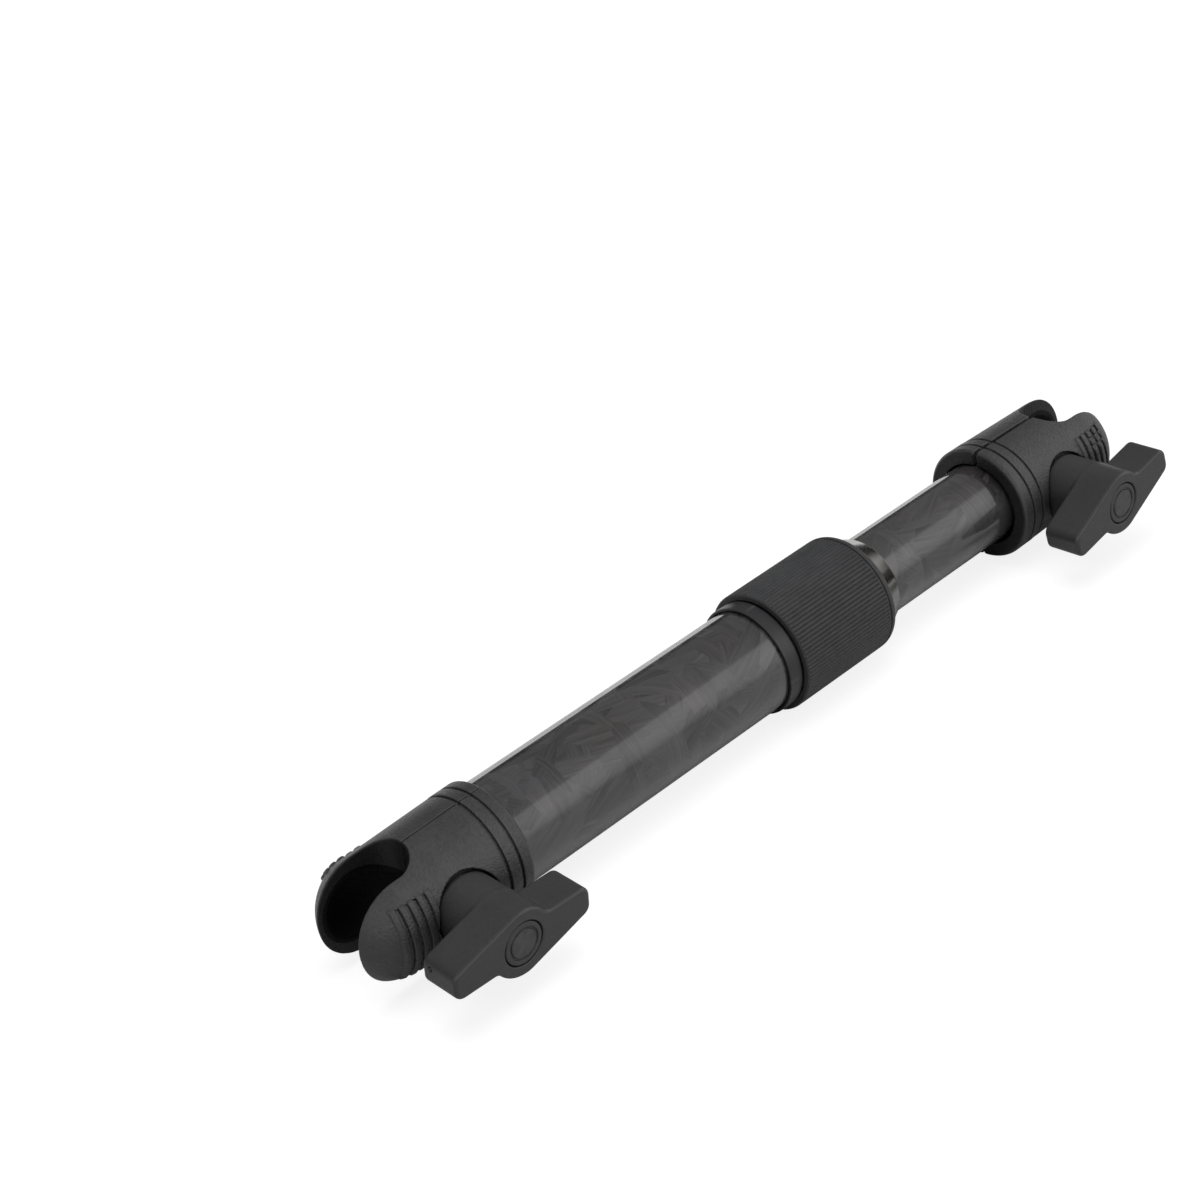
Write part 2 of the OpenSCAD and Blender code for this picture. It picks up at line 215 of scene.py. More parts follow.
def surface_net(field, axes):
    """Quads over field = 0, their vertices pulled onto it, with true normals."""
    values = field(*np.meshgrid(*axes, indexing="ij"))
    values = np.where(np.abs(values) < 1e-9, 1e-9, values)
    cells = tuple(n - 1 for n in values.shape)
    total = np.zeros(cells + (3,), np.float32)
    count = np.zeros(cells, np.float32)
    crossings = []
    for axis in range(3):
        near = [slice(None)] * 3
        far = [slice(None)] * 3
        near[axis], far[axis] = slice(0, -1), slice(1, None)
        start, end = values[tuple(near)], values[tuple(far)]
        crossed = (start < 0) != (end < 0)
        crossings.append((crossed, start < 0))
        part = np.where(crossed, start / np.where(crossed, start - end, 1), 0)
        points = np.zeros(crossed.shape + (3,), np.float32)
        for c in range(3):
            shape = [1, 1, 1]
            shape[c] = -1
            if c == axis:
                here, there = axes[c][:-1], axes[c][1:]
                points[..., c] = here.reshape(shape) + part * (there - here).reshape(shape)
            else:
                points[..., c] = axes[c].reshape(shape)
        points *= crossed[..., None]
        others = [c for c in range(3) if c != axis]
        for i in (0, 1):
            for j in (0, 1):
                window = [slice(None)] * 3
                for c, shift in zip(others, (i, j)):
                    window[c] = slice(shift, values.shape[c] - 1 + shift)
                total += points[tuple(window)]
                count += crossed[tuple(window)]
    active = count > 0
    index = np.full(cells, -1, np.int64)
    index[active] = np.arange(active.sum())
    verts = (total[active] / count[active][:, None]).astype(float)

    quads = []
    for axis, (crossed, inside) in enumerate(crossings):
        edge = np.nonzero(crossed)
        side, rise = [(1, 2), (2, 0), (0, 1)][axis]
        whole = (edge[side] > 0) & (edge[rise] > 0)
        whole &= (edge[side] < cells[side]) & (edge[rise] < cells[rise])
        edge = [c[whole] for c in edge]
        outward = inside[tuple(edge)]

        def cell(i, j):
            at = list(edge)
            at[side] = at[side] - 1 + i
            at[rise] = at[rise] - 1 + j
            return index[tuple(at)]

        quad = np.stack([cell(0, 0), cell(1, 0), cell(1, 1), cell(0, 1)], 1)
        quad[~outward] = quad[~outward][:, ::-1]
        quads.append(quad)

    def gradient(points):
        slope = np.zeros_like(points)
        for c in range(3):
            nudge = np.zeros(3)
            nudge[c] = PROBE
            ahead, behind = points + nudge, points - nudge
            slope[:, c] = (field(*ahead.T) - field(*behind.T)) / (2 * PROBE)
        return slope

    spacing = float(np.median(np.diff(axes[0])))
    for _ in range(PULLS):
        slope = gradient(verts)
        value = field(*verts.T)
        step = value[:, None] * slope / np.maximum((slope * slope).sum(1), 0.2)[:, None]
        length = np.linalg.norm(step, axis=1, keepdims=True)
        verts = verts - step * np.minimum(1, 0.45 * spacing / np.maximum(length, 1e-9))
    return verts, np.concatenate(quads), gradient(verts)


def solid(name, field, axes, place, turn):
    verts, quads, normals = surface_net(field, axes)
    return quad_object(name, place(verts), quads, turn(normals))


# ------------------------------------------------------------------ turned solids
def signed_area(points):
    following = list(points[1:]) + [points[0]]
    return sum(p[0] * q[1] - q[0] * p[1] for p, q in zip(points, following))


def round_profile(corners, arc_steps):
    """Closed section with rounded corners, as points and outward normals in 2D.

    corners: (x, radius from the axis, corner radius).
    """
    points, normals = [], []
    side = 1.0 if signed_area(corners) > 0 else -1.0
    for i, corner in enumerate(corners):
        here = np.array(corner[:2], float)
        before = np.array(corners[i - 1][:2], float)
        after = np.array(corners[(i + 1) % len(corners)][:2], float)
        dir_in = (here - before) / np.linalg.norm(here - before)
        dir_out = (after - here) / np.linalg.norm(after - here)
        normal_in = side * np.array([dir_in[1], -dir_in[0]])
        normal_out = side * np.array([dir_out[1], -dir_out[0]])
        bend = math.acos(max(-1, min(1, float(dir_in @ dir_out))))
        if bend < 1e-4:
            points.append(here)
            normals.append(normal_in)
            continue
        cut = max(corner[2], 0.02) * math.tan(bend / 2)
        cut = min(cut, 0.48 * np.linalg.norm(here - before), 0.48 * np.linalg.norm(after - here))
        radius = cut / math.tan(bend / 2)
        convex = side * (dir_in[0] * dir_out[1] - dir_in[1] * dir_out[0]) > 0
        sense = -1.0 if convex else 1.0
        centre = here - dir_in * cut + sense * normal_in * radius
        for k in range(arc_steps + 1):
            part = k / arc_steps
            normal = (normal_in * math.sin((1 - part) * bend)
                      + normal_out * math.sin(part * bend))
            normal = normal / np.linalg.norm(normal)
            points.append(centre - sense * normal * radius)
            normals.append(normal)
    return np.array(points), np.array(normals)


def split_straights(points, normals, spacing):
    """Add points along long straights, so that the shading has support."""
    new_points, new_normals = [], []
    for i, (point, normal) in enumerate(zip(points, normals)):
        new_points.append(point)
        new_normals.append(normal)
        after = points[(i + 1) % len(points)]
        normal_after = normals[(i + 1) % len(points)]
        extra = int(np.linalg.norm(after - point) // spacing)
        for j in range(1, extra + 1):
            part = j / (extra + 1)
            new_points.append(point * (1 - part) + after * part)
            mixed = normal * (1 - part) + normal_after * part
            new_normals.append(mixed / np.linalg.norm(mixed))
    return np.array(new_points), np.array(new_normals)


def lathe(name, corners, start_x=0.0, segments=192, arc_steps=5, relief=None, spacing=0.0):
    """Closed section turned about X.

    relief(x, radius, angle) gives the radial change and its slope by angle.
    """
    section, section_normals = round_profile(corners, arc_steps)
    if spacing:
        section, section_normals = split_straights(section, section_normals, spacing)
    rows = len(section)
    angles = np.arange(segments) * 2 * math.pi / segments
    x, radius, normal_x, normal_r = (
        np.repeat(column[:, None], segments, 1)
        for column in (*section.T, *section_normals.T))
    angle = np.repeat(angles[None, :], rows, 0)
    normal_t = np.zeros_like(radius)
    if relief is not None:
        change, slope = relief(x, radius, angle)
        radius = radius + change
        normal_t = -slope / radius * normal_r
    cos, sin = np.cos(angle), np.sin(angle)
    verts = np.stack([x + start_x, radius * cos, radius * sin], -1).reshape(-1, 3)
    normals = np.stack([normal_x, normal_r * cos - normal_t * sin,
                        normal_r * sin + normal_t * cos], -1).reshape(-1, 3)
    row = np.arange(rows)[:, None]
    column = np.arange(segments)[None, :]
    ring, next_ring = row * segments, (row + 1) % rows * segments
    next_column = (column + 1) % segments
    quads = np.stack([ring + column, next_ring + column,
                      next_ring + next_column, ring + next_column], -1).reshape(-1, 4)
    if signed_area(section) < 0:
        quads = quads[:, ::-1]
    return quad_object(name, verts, quads, normals)


# ------------------------------------------------------------------ clamp shells
EAR_R = COLLAR_R - 0.75      # outside radius where the end starts to round off
END_R = 15.0                 # rounding of the ear end
END_FLAT_R = EAR_R - END_R   # flat in the middle of the ear end
SLOT_HALF = 8.0
# the slot removes the very end of the rounded nose, so its full length is worked back from the box
CLAMP_LEN = (BASE_FACE - box_mm("base_shell_fixed")[0][0] + END_R
             - math.sqrt(END_R ** 2 - (SLOT_HALF - END_FLAT_R) ** 2))
BEND_X = CLAMP_LEN - END_R   # where the taper meets the rounded end
TAPER_X = 9.0
TAPER_R = COLLAR_R - 0.1
TAPER = (TAPER_R - EAR_R) / (BEND_X - TAPER_X)
COLLAR_LEN = 9.2
COLLAR_CHAMFER = 0.8
# grooves round the collar: x, half width, depth below the collar, softness 0.28 on each
COLLAR_GROOVES = ((4.4, 0.42, 0.75), (8.73, 0.46, 0.85))
SLOT_X = 36.4                # centre of the slot's round end
SOCKET_X, SOCKET_R = 40.1, 12.7

RIB_COUNT = 5
RIB_X, RIB_PITCH = 32.7, 2.75
RIB_HALF, RIB_LEN = 0.88, 11.5          # half width in x, reach to either side in z
RIB_H = 0.5
VALLEY_HALF, VALLEY_LEN, VALLEY_DEPTH = 0.42, 10.9, 0.4
STUD_GAPS = (6.9, 9.2)                  # z of the gaps that part the studs
STUD_GAP_HALF = 0.42

BORE_DEPTH = 11.2
SPIGOT_BORE = dict(radius=8.25, at=11.6, half=1.8)
FLANGE_GROOVE = dict(radius=11.3, at=14.9, half=1.6)
KNOB_SEAT_R, KNOB_SEAT_Y = 10.6, 13.5   # recess in the moving shell
HEX_HALF, HEX_Y = 5.7, 13.0             # hexagonal recess in the fixed shell
BOLT_R = 3.4
SPRING_R, SPRING_HALF = 4.6, 7.0        # pocket across the joint plane
PIN_X, PIN_Z = 14.8, 14.4
PIN_R, PIN_TOP, PIN_FOOT = 1.3, 2.0, 4.0
HOLE_R, HOLE_DEPTH = 1.4, 4.8


def taper_and_end(x, rad):
    """Height above the tapered side and above the rounded ear end."""
    side = rad - (TAPER_R - TAPER * (x - TAPER_X))
    end = np.hypot(np.maximum(rad - END_FLAT_R, 0), np.maximum(x - BEND_X, 0)) - END_R
    return side, end


def clamp_skin(x, rad):
    side, end = taper_and_end(x, rad)
    return np.where(x > BEND_X, end, side)


def turned_body(x, rad):
    """Signed distance of the clamp's turned outside."""
    side, end = taper_and_end(x, rad)
    end = np.where(rad < END_FLAT_R, x - CLAMP_LEN, end)
    body = np.where(x > BEND_X, end, side * math.cos(math.atan(TAPER)))
    body = smooth_min(body, np.maximum(rad - COLLAR_R, x - COLLAR_LEN), soft=0.15)
    body = smooth_max(body, -x, soft=0.25)
    chamfer = (rad - x - (COLLAR_R - COLLAR_CHAMFER)) / math.sqrt(2)
    body = smooth_max(body, chamfer, soft=0.3)
    for at, half, depth in COLLAR_GROOVES:
        groove = np.maximum(np.abs(x - at) - half, COLLAR_R - depth - rad)
        body = carve(body, groove, soft=0.28)
    return body


def ribs(x, y, z, rad, sign, studs):
    """Raised grip ribs on an ear.

    studs: "both" breaks the ends of the last three ribs into short studs, "tall" does so at the
    -z end only, where those ribs also stand higher, and "none" leaves them whole.
    """
    skin = clamp_skin(x, rad)
    tall = RIB_H + 0.35 * np.clip((-z - 6.5) / 0.8, 0, 1)
    out = None
    for k in range(RIB_COUNT):
        rib_x = np.abs(x - (RIB_X + RIB_PITCH * k))
        rib = np.maximum(rib_x - RIB_HALF, np.abs(z) - RIB_LEN)
        if studs != "none" and k > 1:
            for gap_z in STUD_GAPS:
                gap = np.maximum(np.abs(np.abs(z) - gap_z) - STUD_GAP_HALF, rib_x - 2.0)
                if studs == "tall":
                    gap = np.maximum(gap, z)
                rib = carve(rib, gap, soft=0.3)
        height = tall if studs == "tall" and k > 1 else RIB_H
        rib = smooth_max(rib, skin - height, soft=0.45)
        out = rib if out is None else np.minimum(out, rib)
    return np.maximum(out, 11.0 - sign * y)


def valleys(x, y, z, rad, sign):
    """Shallow channels between the ribs."""
    out = None
    for k in range(RIB_COUNT - 1):
        valley_x = RIB_X + RIB_PITCH * (k + 0.5)
        valley = np.maximum(np.abs(x - valley_x) - VALLEY_HALF, np.abs(z) - VALLEY_LEN)
        out = valley if out is None else np.minimum(out, valley)
    out = np.maximum(out, -VALLEY_DEPTH - clamp_skin(x, rad))
    return np.maximum(out, 11.5 - sign * y)


def hexagon(x, z, half):
    x, z = np.abs(x), np.abs(z)
    return np.maximum(z, x * math.cos(math.pi / 6) + z * 0.5) - half


def disc(x, rad, radius, at, half):
    """Short cylinder on the clamp axis."""
    return np.maximum(rad - radius, np.abs(x - at) - half)


def shell_field(sign, bore_r, studs):
    """One half of a clamp; sign is 1 for the fixed shell and -1 for the moving one."""
    def field(x, y, z):
        rad = np.hypot(y, z)
        form = turned_body(x, rad)
        form = smooth_min(form, ribs(x, y, z, rad, sign, studs), soft=0.22)
        form = carve(form, valleys(x, y, z, rad, sign), soft=0.3)
        # slot between the ears, with softly rounded lips, and the ball socket
        slot = np.where(x < SLOT_X, np.hypot(x - SLOT_X, y), np.abs(y)) - SLOT_HALF
        form = carve(form, slot, soft=0.6)
        ball = np.sqrt((x - SOCKET_X) ** 2 + (y + JAW_GAP / 2) ** 2 + z * z) - SOCKET_R
        form = carve(form, ball, soft=0.35)
        # collar bore, spigot bore and flange groove
        form = carve(form, np.maximum(rad - bore_r, x - BORE_DEPTH), soft=0.45)
        form = carve(form, disc(x, rad, **SPIGOT_BORE), soft=0.2)
        form = carve(form, disc(x, rad, **FLANGE_GROOVE), soft=0.2)
        knob_rad = np.hypot(x - KNOB_X, z)
        pin_rads = [np.hypot(x - PIN_X, z - side * PIN_Z) for side in (-1, 1)]
        if sign < 0:
            form = smooth_max(form, y + JAW_GAP, soft=0.3)
            seat = np.maximum(knob_rad - KNOB_SEAT_R, KNOB_SEAT_Y + y)
            form = carve(form, seat, soft=0.5)
            for pin_rad in pin_rads:
                form = carve(form, np.maximum(pin_rad - HOLE_R, -HOLE_DEPTH - y), soft=0.15)
        else:
            form = smooth_max(form, -y, soft=0.3)
            recess = np.maximum(hexagon(x - KNOB_X, z, HEX_HALF), HEX_Y - y)
            form = carve(form, recess, soft=0.35)
            for pin_rad in pin_rads:
                pin = np.maximum(pin_rad - PIN_R, np.maximum(y - PIN_TOP, -PIN_FOOT - y))
                form = smooth_min(form, pin, soft=0.1)
        form = carve(form, knob_rad - BOLT_R, soft=0.2)
        pocket = np.maximum(knob_rad - SPRING_R, np.abs(y) - SPRING_HALF)
        return carve(form, pocket, soft=0.2)

    return field


# grid steps, and bands (from, to, step) where the detail needs finer ones
COARSE = 0.42
MID = 0.33
FINE = 0.21
EAR_STEP = 0.29
SHELL_X = axis_steps(-0.9, CLAMP_LEN + 1.6, [
    (-0.9, 1.7, FINE), (3.7, 5.1, FINE), (7.9, 9.9, FINE), (10.6, 17.0, MID),
    (31.0, 45.5, EAR_STEP)], COARSE)
FIXED_Y = axis_steps(-4.7, 20.2, [(-0.5, 1.0, FINE), (7.2, 9.4, MID)], COARSE)
MOVING_Y = -axis_steps(-0.4, 20.2, [
    (-0.4, 1.2, FINE), (7.2, 9.4, MID), (12.8, 14.6, MID)], COARSE)[::-1]
SHELL_Z = axis_steps(-20.1, 20.1, [(-12.4, -10.9, MID), (10.9, 12.4, MID)], COARSE)

# ------------------------------------------------------------------ wing knob
HUB_R = 10.0
WING_FLAT_Y = 4.9        # straight flank of a wing
WING_SLOPE = 17.3        # degrees, lean of the opposite flank
WING_ROUND = 3.0         # rounding at the tip and in the corner by the hub
WING_HALF = 23.4         # knob axis to wing tip
WING_EDGE_R = 1.15       # rounding of the top and bottom edges
STEM_R = 9.95
CAP_SEAT_R, CAP_SEAT_DEPTH = 6.55, 1.6
DIMPLE_AT, DIMPLE_R = (23.35, -1.2, WING_FOOT + 3.0), 0.78


def arc(centre, radius, start, end, steps):
    """Points on an arc between two angles in degrees."""
    angles = [math.radians(start + (end - start) * i / steps) for i in range(steps + 1)]
    return [(centre[0] + radius * math.cos(a), centre[1] + radius * math.sin(a)) for a in angles]


def wing_points(steps=24):
    """Outline of the knob seen along its axis: one half, and the same turned half round."""
    lean = math.radians(WING_SLOPE)
    corner_x = WING_HALF - WING_ROUND
    low = (corner_x, -(HUB_R - WING_ROUND) / math.cos(lean) + corner_x * math.tan(lean))
    top = (corner_x, WING_FLAT_Y - WING_ROUND)
    fillet_y = WING_FLAT_Y + WING_ROUND
    fillet = (math.sqrt((HUB_R + WING_ROUND) ** 2 - fillet_y ** 2), fillet_y)
    meet = math.degrees(math.atan2(fillet[1], fillet[0]))
    half = arc(low, WING_ROUND, WING_SLOPE - 90, 0, steps)
    half += arc(top, WING_ROUND, 0, 90, steps)
    half += arc(fillet, WING_ROUND, 270, 180 + meet, steps)
    half += arc((0, 0), HUB_R, meet + 2, 90 + WING_SLOPE - 4, steps)
    return np.array(half + [(-x, -y) for x, y in half])


class Outline:
    """Signed distance to a closed outline, read from a fine table."""

    def __init__(self, points, pad=3.0, step=0.08):
        self.lo, self.step = points.min(0) - pad, step
        self.size = np.ceil((points.max(0) + pad - self.lo) / step).astype(int) + 2
        x, y = np.meshgrid(*(self.lo[c] + step * np.arange(self.size[c]) for c in (0, 1)),
                           indexing="ij")
        nearest = np.full(x.shape, 1e9)
        inside = np.zeros(x.shape, bool)
        for (x1, y1), (x2, y2) in zip(points, np.roll(points, -1, 0)):
            run, rise = x2 - x1, y2 - y1
            square = run * run + rise * rise
            if square < 1e-12:
                continue
            part = np.clip(((x - x1) * run + (y - y1) * rise) / square, 0, 1)
            nearest = np.minimum(nearest,
                                 (x - x1 - part * run) ** 2 + (y - y1 - part * rise) ** 2)
            if rise != 0:
                inside ^= ((y1 <= y) != (y2 <= y)) & (x < x1 + (y - y1) * run / rise)
        distance = np.sqrt(nearest)
        self.table = np.where(inside, -distance, distance)

    def __call__(self, x, y):
        across = np.clip((x - self.lo[0]) / self.step, 0, self.size[0] - 1.001)
        up = np.clip((y - self.lo[1]) / self.step, 0, self.size[1] - 1.001)
        i, j = across.astype(int), up.astype(int)
        part_x, part_y = across - i, up - j
        table = self.table
        return (table[i, j] * (1 - part_x) * (1 - part_y)
                + table[i + 1, j] * part_x * (1 - part_y)
                + table[i, j + 1] * (1 - part_x) * part_y
                + table[i + 1, j + 1] * part_x * part_y)


wing_outline = Outline(wing_points())


def knob_field(x, y, z):
    rad = np.hypot(x, y)
    flank = wing_outline(x, y) + WING_EDGE_R
    face = np.abs(z - (KNOB_H - WING_T / 2)) - WING_T / 2 + WING_EDGE_R
    wing = (np.minimum(np.maximum(flank, face), 0)
            + np.hypot(np.maximum(flank, 0), np.maximum(face, 0)) - WING_EDGE_R)
    stem = smooth_max(rad - STEM_R, -z, soft=0.9)
    stem = smooth_max(stem, z - (WING_FOOT + 3.0), soft=4.0)
    form = smooth_min(wing, stem, soft=0.9)
    # bore from the foot, a narrower one above it, and the seat of the cap disc
    form = carve(form, np.maximum(rad - 5.05, z - 16.0), soft=0.4)
    form = carve(form, np.maximum(rad - 3.7, np.maximum(15.0 - z, z - 20.3)), soft=0.1)
    form = carve(form, np.maximum(rad - CAP_SEAT_R, KNOB_H - CAP_SEAT_DEPTH - z), soft=0.6)
    # small dimple at one wing end
    from_dimple = np.sqrt(sum((c - at) ** 2 for c, at in zip((x, y, z), DIMPLE_AT)))
    return carve(form, from_dimple - DIMPLE_R, soft=0.15)


KNOB_COARSE = 0.34
KNOB_FINE = 0.2
SEAT_BANDS = [(-7.0, -6.1, KNOB_FINE), (6.1, 7.0, KNOB_FINE)]
KNOB_AXES = (
    axis_steps(-24.4, 24.4, [(-24.4, -22.0, 0.28), (22.0, 24.4, 0.28)] + SEAT_BANDS, KNOB_COARSE),
    axis_steps(-11.2, 11.2, SEAT_BANDS, KNOB_COARSE),
    axis_steps(-0.9, KNOB_H + 0.9, [
        (-0.9, 1.0, 0.3), (WING_FOOT - 0.4, WING_FOOT + 1.4, 0.28),
        (KNOB_H - 1.9, KNOB_H + 0.4, KNOB_FINE)], KNOB_COARSE),
)

CAP_TOP = KNOB_H - 0.1
CAP_FOOT = KNOB_H - 1.55
# height, radius, corner radius; a shallow ring groove runs round the top
CAP_SECTION = [
    (CAP_FOOT, 0.0, 0), (CAP_FOOT, 6.3, 0.15), (CAP_TOP, 6.3, 0.55), (CAP_TOP, 4.95, 0.25),
    (CAP_TOP - 0.45, 4.72, 0.14), (CAP_TOP - 0.45, 4.34, 0.14), (CAP_TOP, 4.11, 0.25),
    (CAP_TOP, 0.0, 0)]


def cap_disc(name, place, turn, segments=128):
    """Disc in the top of the knob, closed at its axis by two centre points."""
    section, section_normals = round_profile(CAP_SECTION, 4)
    off_axis = section[:, 1] > 1e-3
    section, section_normals = section[off_axis], section_normals[off_axis]
    # open the section at the axis, starting from the foot
    start = int(np.argmin(np.hypot(section[:, 0] - CAP_FOOT, section[:, 1])))
    section = np.roll(section, -start, 0)
    section_normals = np.roll(section_normals, -start, 0)
    angles = np.arange(segments) * 2 * math.pi / segments

    def spin(pairs):
        return np.concatenate([
            np.stack([rad * np.cos(angles), rad * np.sin(angles), np.full(segments, z)], 1)
            for z, rad in pairs])

    verts, normals = spin(section), spin(section_normals)
    foot_centre, top_centre = len(verts), len(verts) + 1
    verts = np.concatenate([verts, [[0, 0, section[0][0]], [0, 0, section[-1][0]]]])
    normals = np.concatenate([normals, [[0, 0, -1], [0, 0, 1]]])
    following = [(j + 1) % segments for j in range(segments)]
    faces = []
    for i in range(len(section) - 1):
        ring, above = i * segments, (i + 1) * segments
        for j, k in enumerate(following):
            faces.append((ring + j, above + j, above + k, ring + k))
    last = (len(section) - 1) * segments
    for j, k in enumerate(following):
        faces.append((foot_centre, j, k))
        faces.append((top_centre, last + k, last + j))
    verts, normals = place(verts), turn(normals)
    mesh = bpy.data.meshes.new(name)
    mesh.from_pydata([tuple(v / MM) for v in verts], [], faces)
    mesh.update()
    # make every face point the way its vertices do
    face = mesh.polygons[len(mesh.polygons) // 3]
    mean = np.mean([normals[i] for i in face.vertices], 0)
    if float(np.dot(np.array(face.normal), mean)) < 0:
        mesh.flip_normals()
    return smooth_object(name, mesh, normals)


# ------------------------------------------------------------------ node helpers
NOISE_SPAN = (0.3, 0.7)  # range that most of a noise texture covers


def grey(value):
    return (value, value, value, 1.0)


class Graph:
    """Shorthand for building the node tree of a material or world."""

    def __init__(self, owner, output):
        owner.use_nodes = True
        self.tree = owner.node_tree
        self.tree.nodes.clear()
        self.out = self.node(output)

    def node(self, kind, **properties):
        node = self.tree.nodes.new(kind)
        for key, value in properties.items():
            setattr(node, key, value)
        return node

    def put(self, socket, value):
        """Link a socket, or set its value; None leaves it alone."""
        if isinstance(value, bpy.types.NodeSocket):
            self.tree.links.new(value, socket)
        elif value is not None:
            socket.default_value = value

    def math(self, operation, one, other=None, clamp=False):
        node = self.node("ShaderNodeMath", operation=operation, use_clamp=clamp)
        self.put(node.inputs[0], one)
        self.put(node.inputs[1], other)
        return node.outputs[0]

    def add(self, one, other):
        return self.math("ADD", one, other)

    def sub(self, one, other):
        return self.math("SUBTRACT", one, other)

    def mul(self, one, other, clamp=False):
        return self.math("MULTIPLY", one, other, clamp)

    def weighted(self, *pairs):
        """Sum of (value, weight) pairs."""
        total = None
        for value, weight in pairs:
            term = self.mul(value, weight)
            total = term if total is None else self.add(total, term)
        return total

    def swing(self, value, amount):
        """A 0..1 value centred on zero, amount wide."""
        return self.mul(self.sub(value, 0.5), amount)

    def vmath(self, operation, one, other=None):
        node = self.node("ShaderNodeVectorMath", operation=operation)
        self.put(node.inputs[0], one)
        self.put(node.inputs[1], other)
        return node.outputs["Value" if operation == "LENGTH" else "Vector"]

    def separate(self, vector, kind="ShaderNodeSeparateXYZ"):
        node = self.node(kind)
        self.put(node.inputs[0], vector)
        return node.outputs

    def combine(self, *values):
        node = self.node("ShaderNodeCombineXYZ")
        for socket, value in zip(node.inputs, values):
            self.put(socket, value)
        return node.outputs[0]

    def mapping(self, vector, turn=(0, 0, 0), scale=(1, 1, 1), shift=(0, 0, 0)):
        node = self.node("ShaderNodeMapping")
        self.put(node.inputs["Vector"], vector)
        node.inputs["Location"].default_value = shift
        node.inputs["Rotation"].default_value = turn
        node.inputs["Scale"].default_value = scale
        return node.outputs[0]

    def noise(self, vector, scale, detail=3.0, rough=0.55):
        node = self.node("ShaderNodeTexNoise")
        self.put(node.inputs["Vector"], vector)
        node.inputs["Scale"].default_value = scale
        node.inputs["Detail"].default_value = detail
        node.inputs["Roughness"].default_value = rough
        return node.outputs[0]

    def voronoi(self, vector, scale, dimensions="3D"):
        node = self.node("ShaderNodeTexVoronoi", feature="F1", voronoi_dimensions=dimensions)
        self.put(node.inputs["Vector"], vector)
        node.inputs["Scale"].default_value = scale
        node.inputs["Randomness"].default_value = 1.0
        return node.outputs

    def remap(self, value, span=NOISE_SPAN, to=(0.0, 1.0), **properties):
        node = self.node("ShaderNodeMapRange", **properties)
        for socket, setting in zip(node.inputs, (value, *span, *to)):
            self.put(socket, setting)
        return node.outputs[0]

    def mix(self, factor, one, other, blend="MIX"):
        node = self.node("ShaderNodeMix", data_type="RGBA", blend_type=blend)
        self.put(node.inputs[0], factor)
        self.put(node.inputs[6], one)
        self.put(node.inputs[7], other)
        return node.outputs[2]

    def mix_value(self, factor, one, other):
        node = self.node("ShaderNodeMix", data_type="FLOAT")
        self.put(node.inputs[0], factor)
        self.put(node.inputs[2], one)
        self.put(node.inputs[3], other)
        return node.outputs[0]

    def bump(self, height, strength, distance, normal=None):
        node = self.node("ShaderNodeBump")
        node.inputs["Strength"].default_value = strength
        node.inputs["Distance"].default_value = distance
        self.put(node.inputs["Height"], height)
        self.put(node.inputs["Normal"], normal)
        return node.outputs[0]

    def edges(self, span):
        """1 on raised edges, from how pointed the mesh is there."""
        geometry = self.node("ShaderNodeNewGeometry")
        return self.remap(geometry.outputs["Pointiness"], span)


class Material(Graph):
    INPUTS = {
        "color": "Base Color", "rough": "Roughness", "metal": "Metallic", "normal": "Normal",
        "ior": "IOR", "spec": "Specular IOR Level", "coat": "Coat Weight",
        "coat_rough": "Coat Roughness", "coat_normal": "Coat Normal", "sheen": "Sheen Weight",
        "sheen_rough": "Sheen Roughness", "glow_color": "Emission Color",
        "glow": "Emission Strength"}

    def __init__(self, name):
        self.material = bpy.data.materials.new(name)
        super().__init__(self.material, "ShaderNodeOutputMaterial")
        self.surface = self.node("ShaderNodeBsdfPrincipled")
        self.put(self.out.inputs["Surface"], self.surface.outputs[0])
        self.point = self.node("ShaderNodeTexCoord").outputs["Object"]

    def set(self, **values):
        for key, value in values.items():
            self.put(self.surface.inputs[self.INPUTS[key]], value)


# ------------------------------------------------------------------ materials
# Ball socket in metres, where shade is painted into the clamp colour: centre, roll about X, sign of X towards the
# ears' root, collar face X
Socket = namedtuple("Socket", "centre roll inward face_x")


def painted_socket_shade(m, socket):
    """Painted shade: factor that darkens the colour and the specular level in the ball socket, the slot walls
    round it and the collar face.
    """
    x, y, _ = m.separate(m.mapping(m.vmath("SUBTRACT", m.point, socket.centre),
                                   turn=(socket.roll, 0, 0)))
    distance = m.vmath("LENGTH", m.vmath("SUBTRACT", m.point, socket.centre))
    ball = m.remap(distance, span=(0.0136, 0.0141), to=(1.0, 0.0))
    slot_end = (SOCKET_X - SLOT_X) / MM
    back = m.math("MAXIMUM", m.sub(m.mul(x, socket.inward), slot_end), 0.0)
    side = m.math("SQRT", m.add(m.mul(y, y), m.mul(back, back)))
    slot = m.remap(side, span=(0.00812, 0.0084), to=(1.0, 0.0))
    from_face = m.math("ABSOLUTE", m.sub(m.add(x, socket.centre[0]), socket.face_x))
    face = m.remap(from_face, span=(0.0001, 0.0005), to=(1.0, 0.0))
    slot = m.math("MAXIMUM", slot, face)
    slot_loss, ball_loss, strength = 0.55, 0.86, 1.0  # painted shade: light lost in the slot and in the ball, and an overall factor on it
    loss = m.math("MAXIMUM", m.mul(slot, slot_loss), m.mul(ball, ball_loss))
    return m.sub(1.0, m.mul(loss, strength))


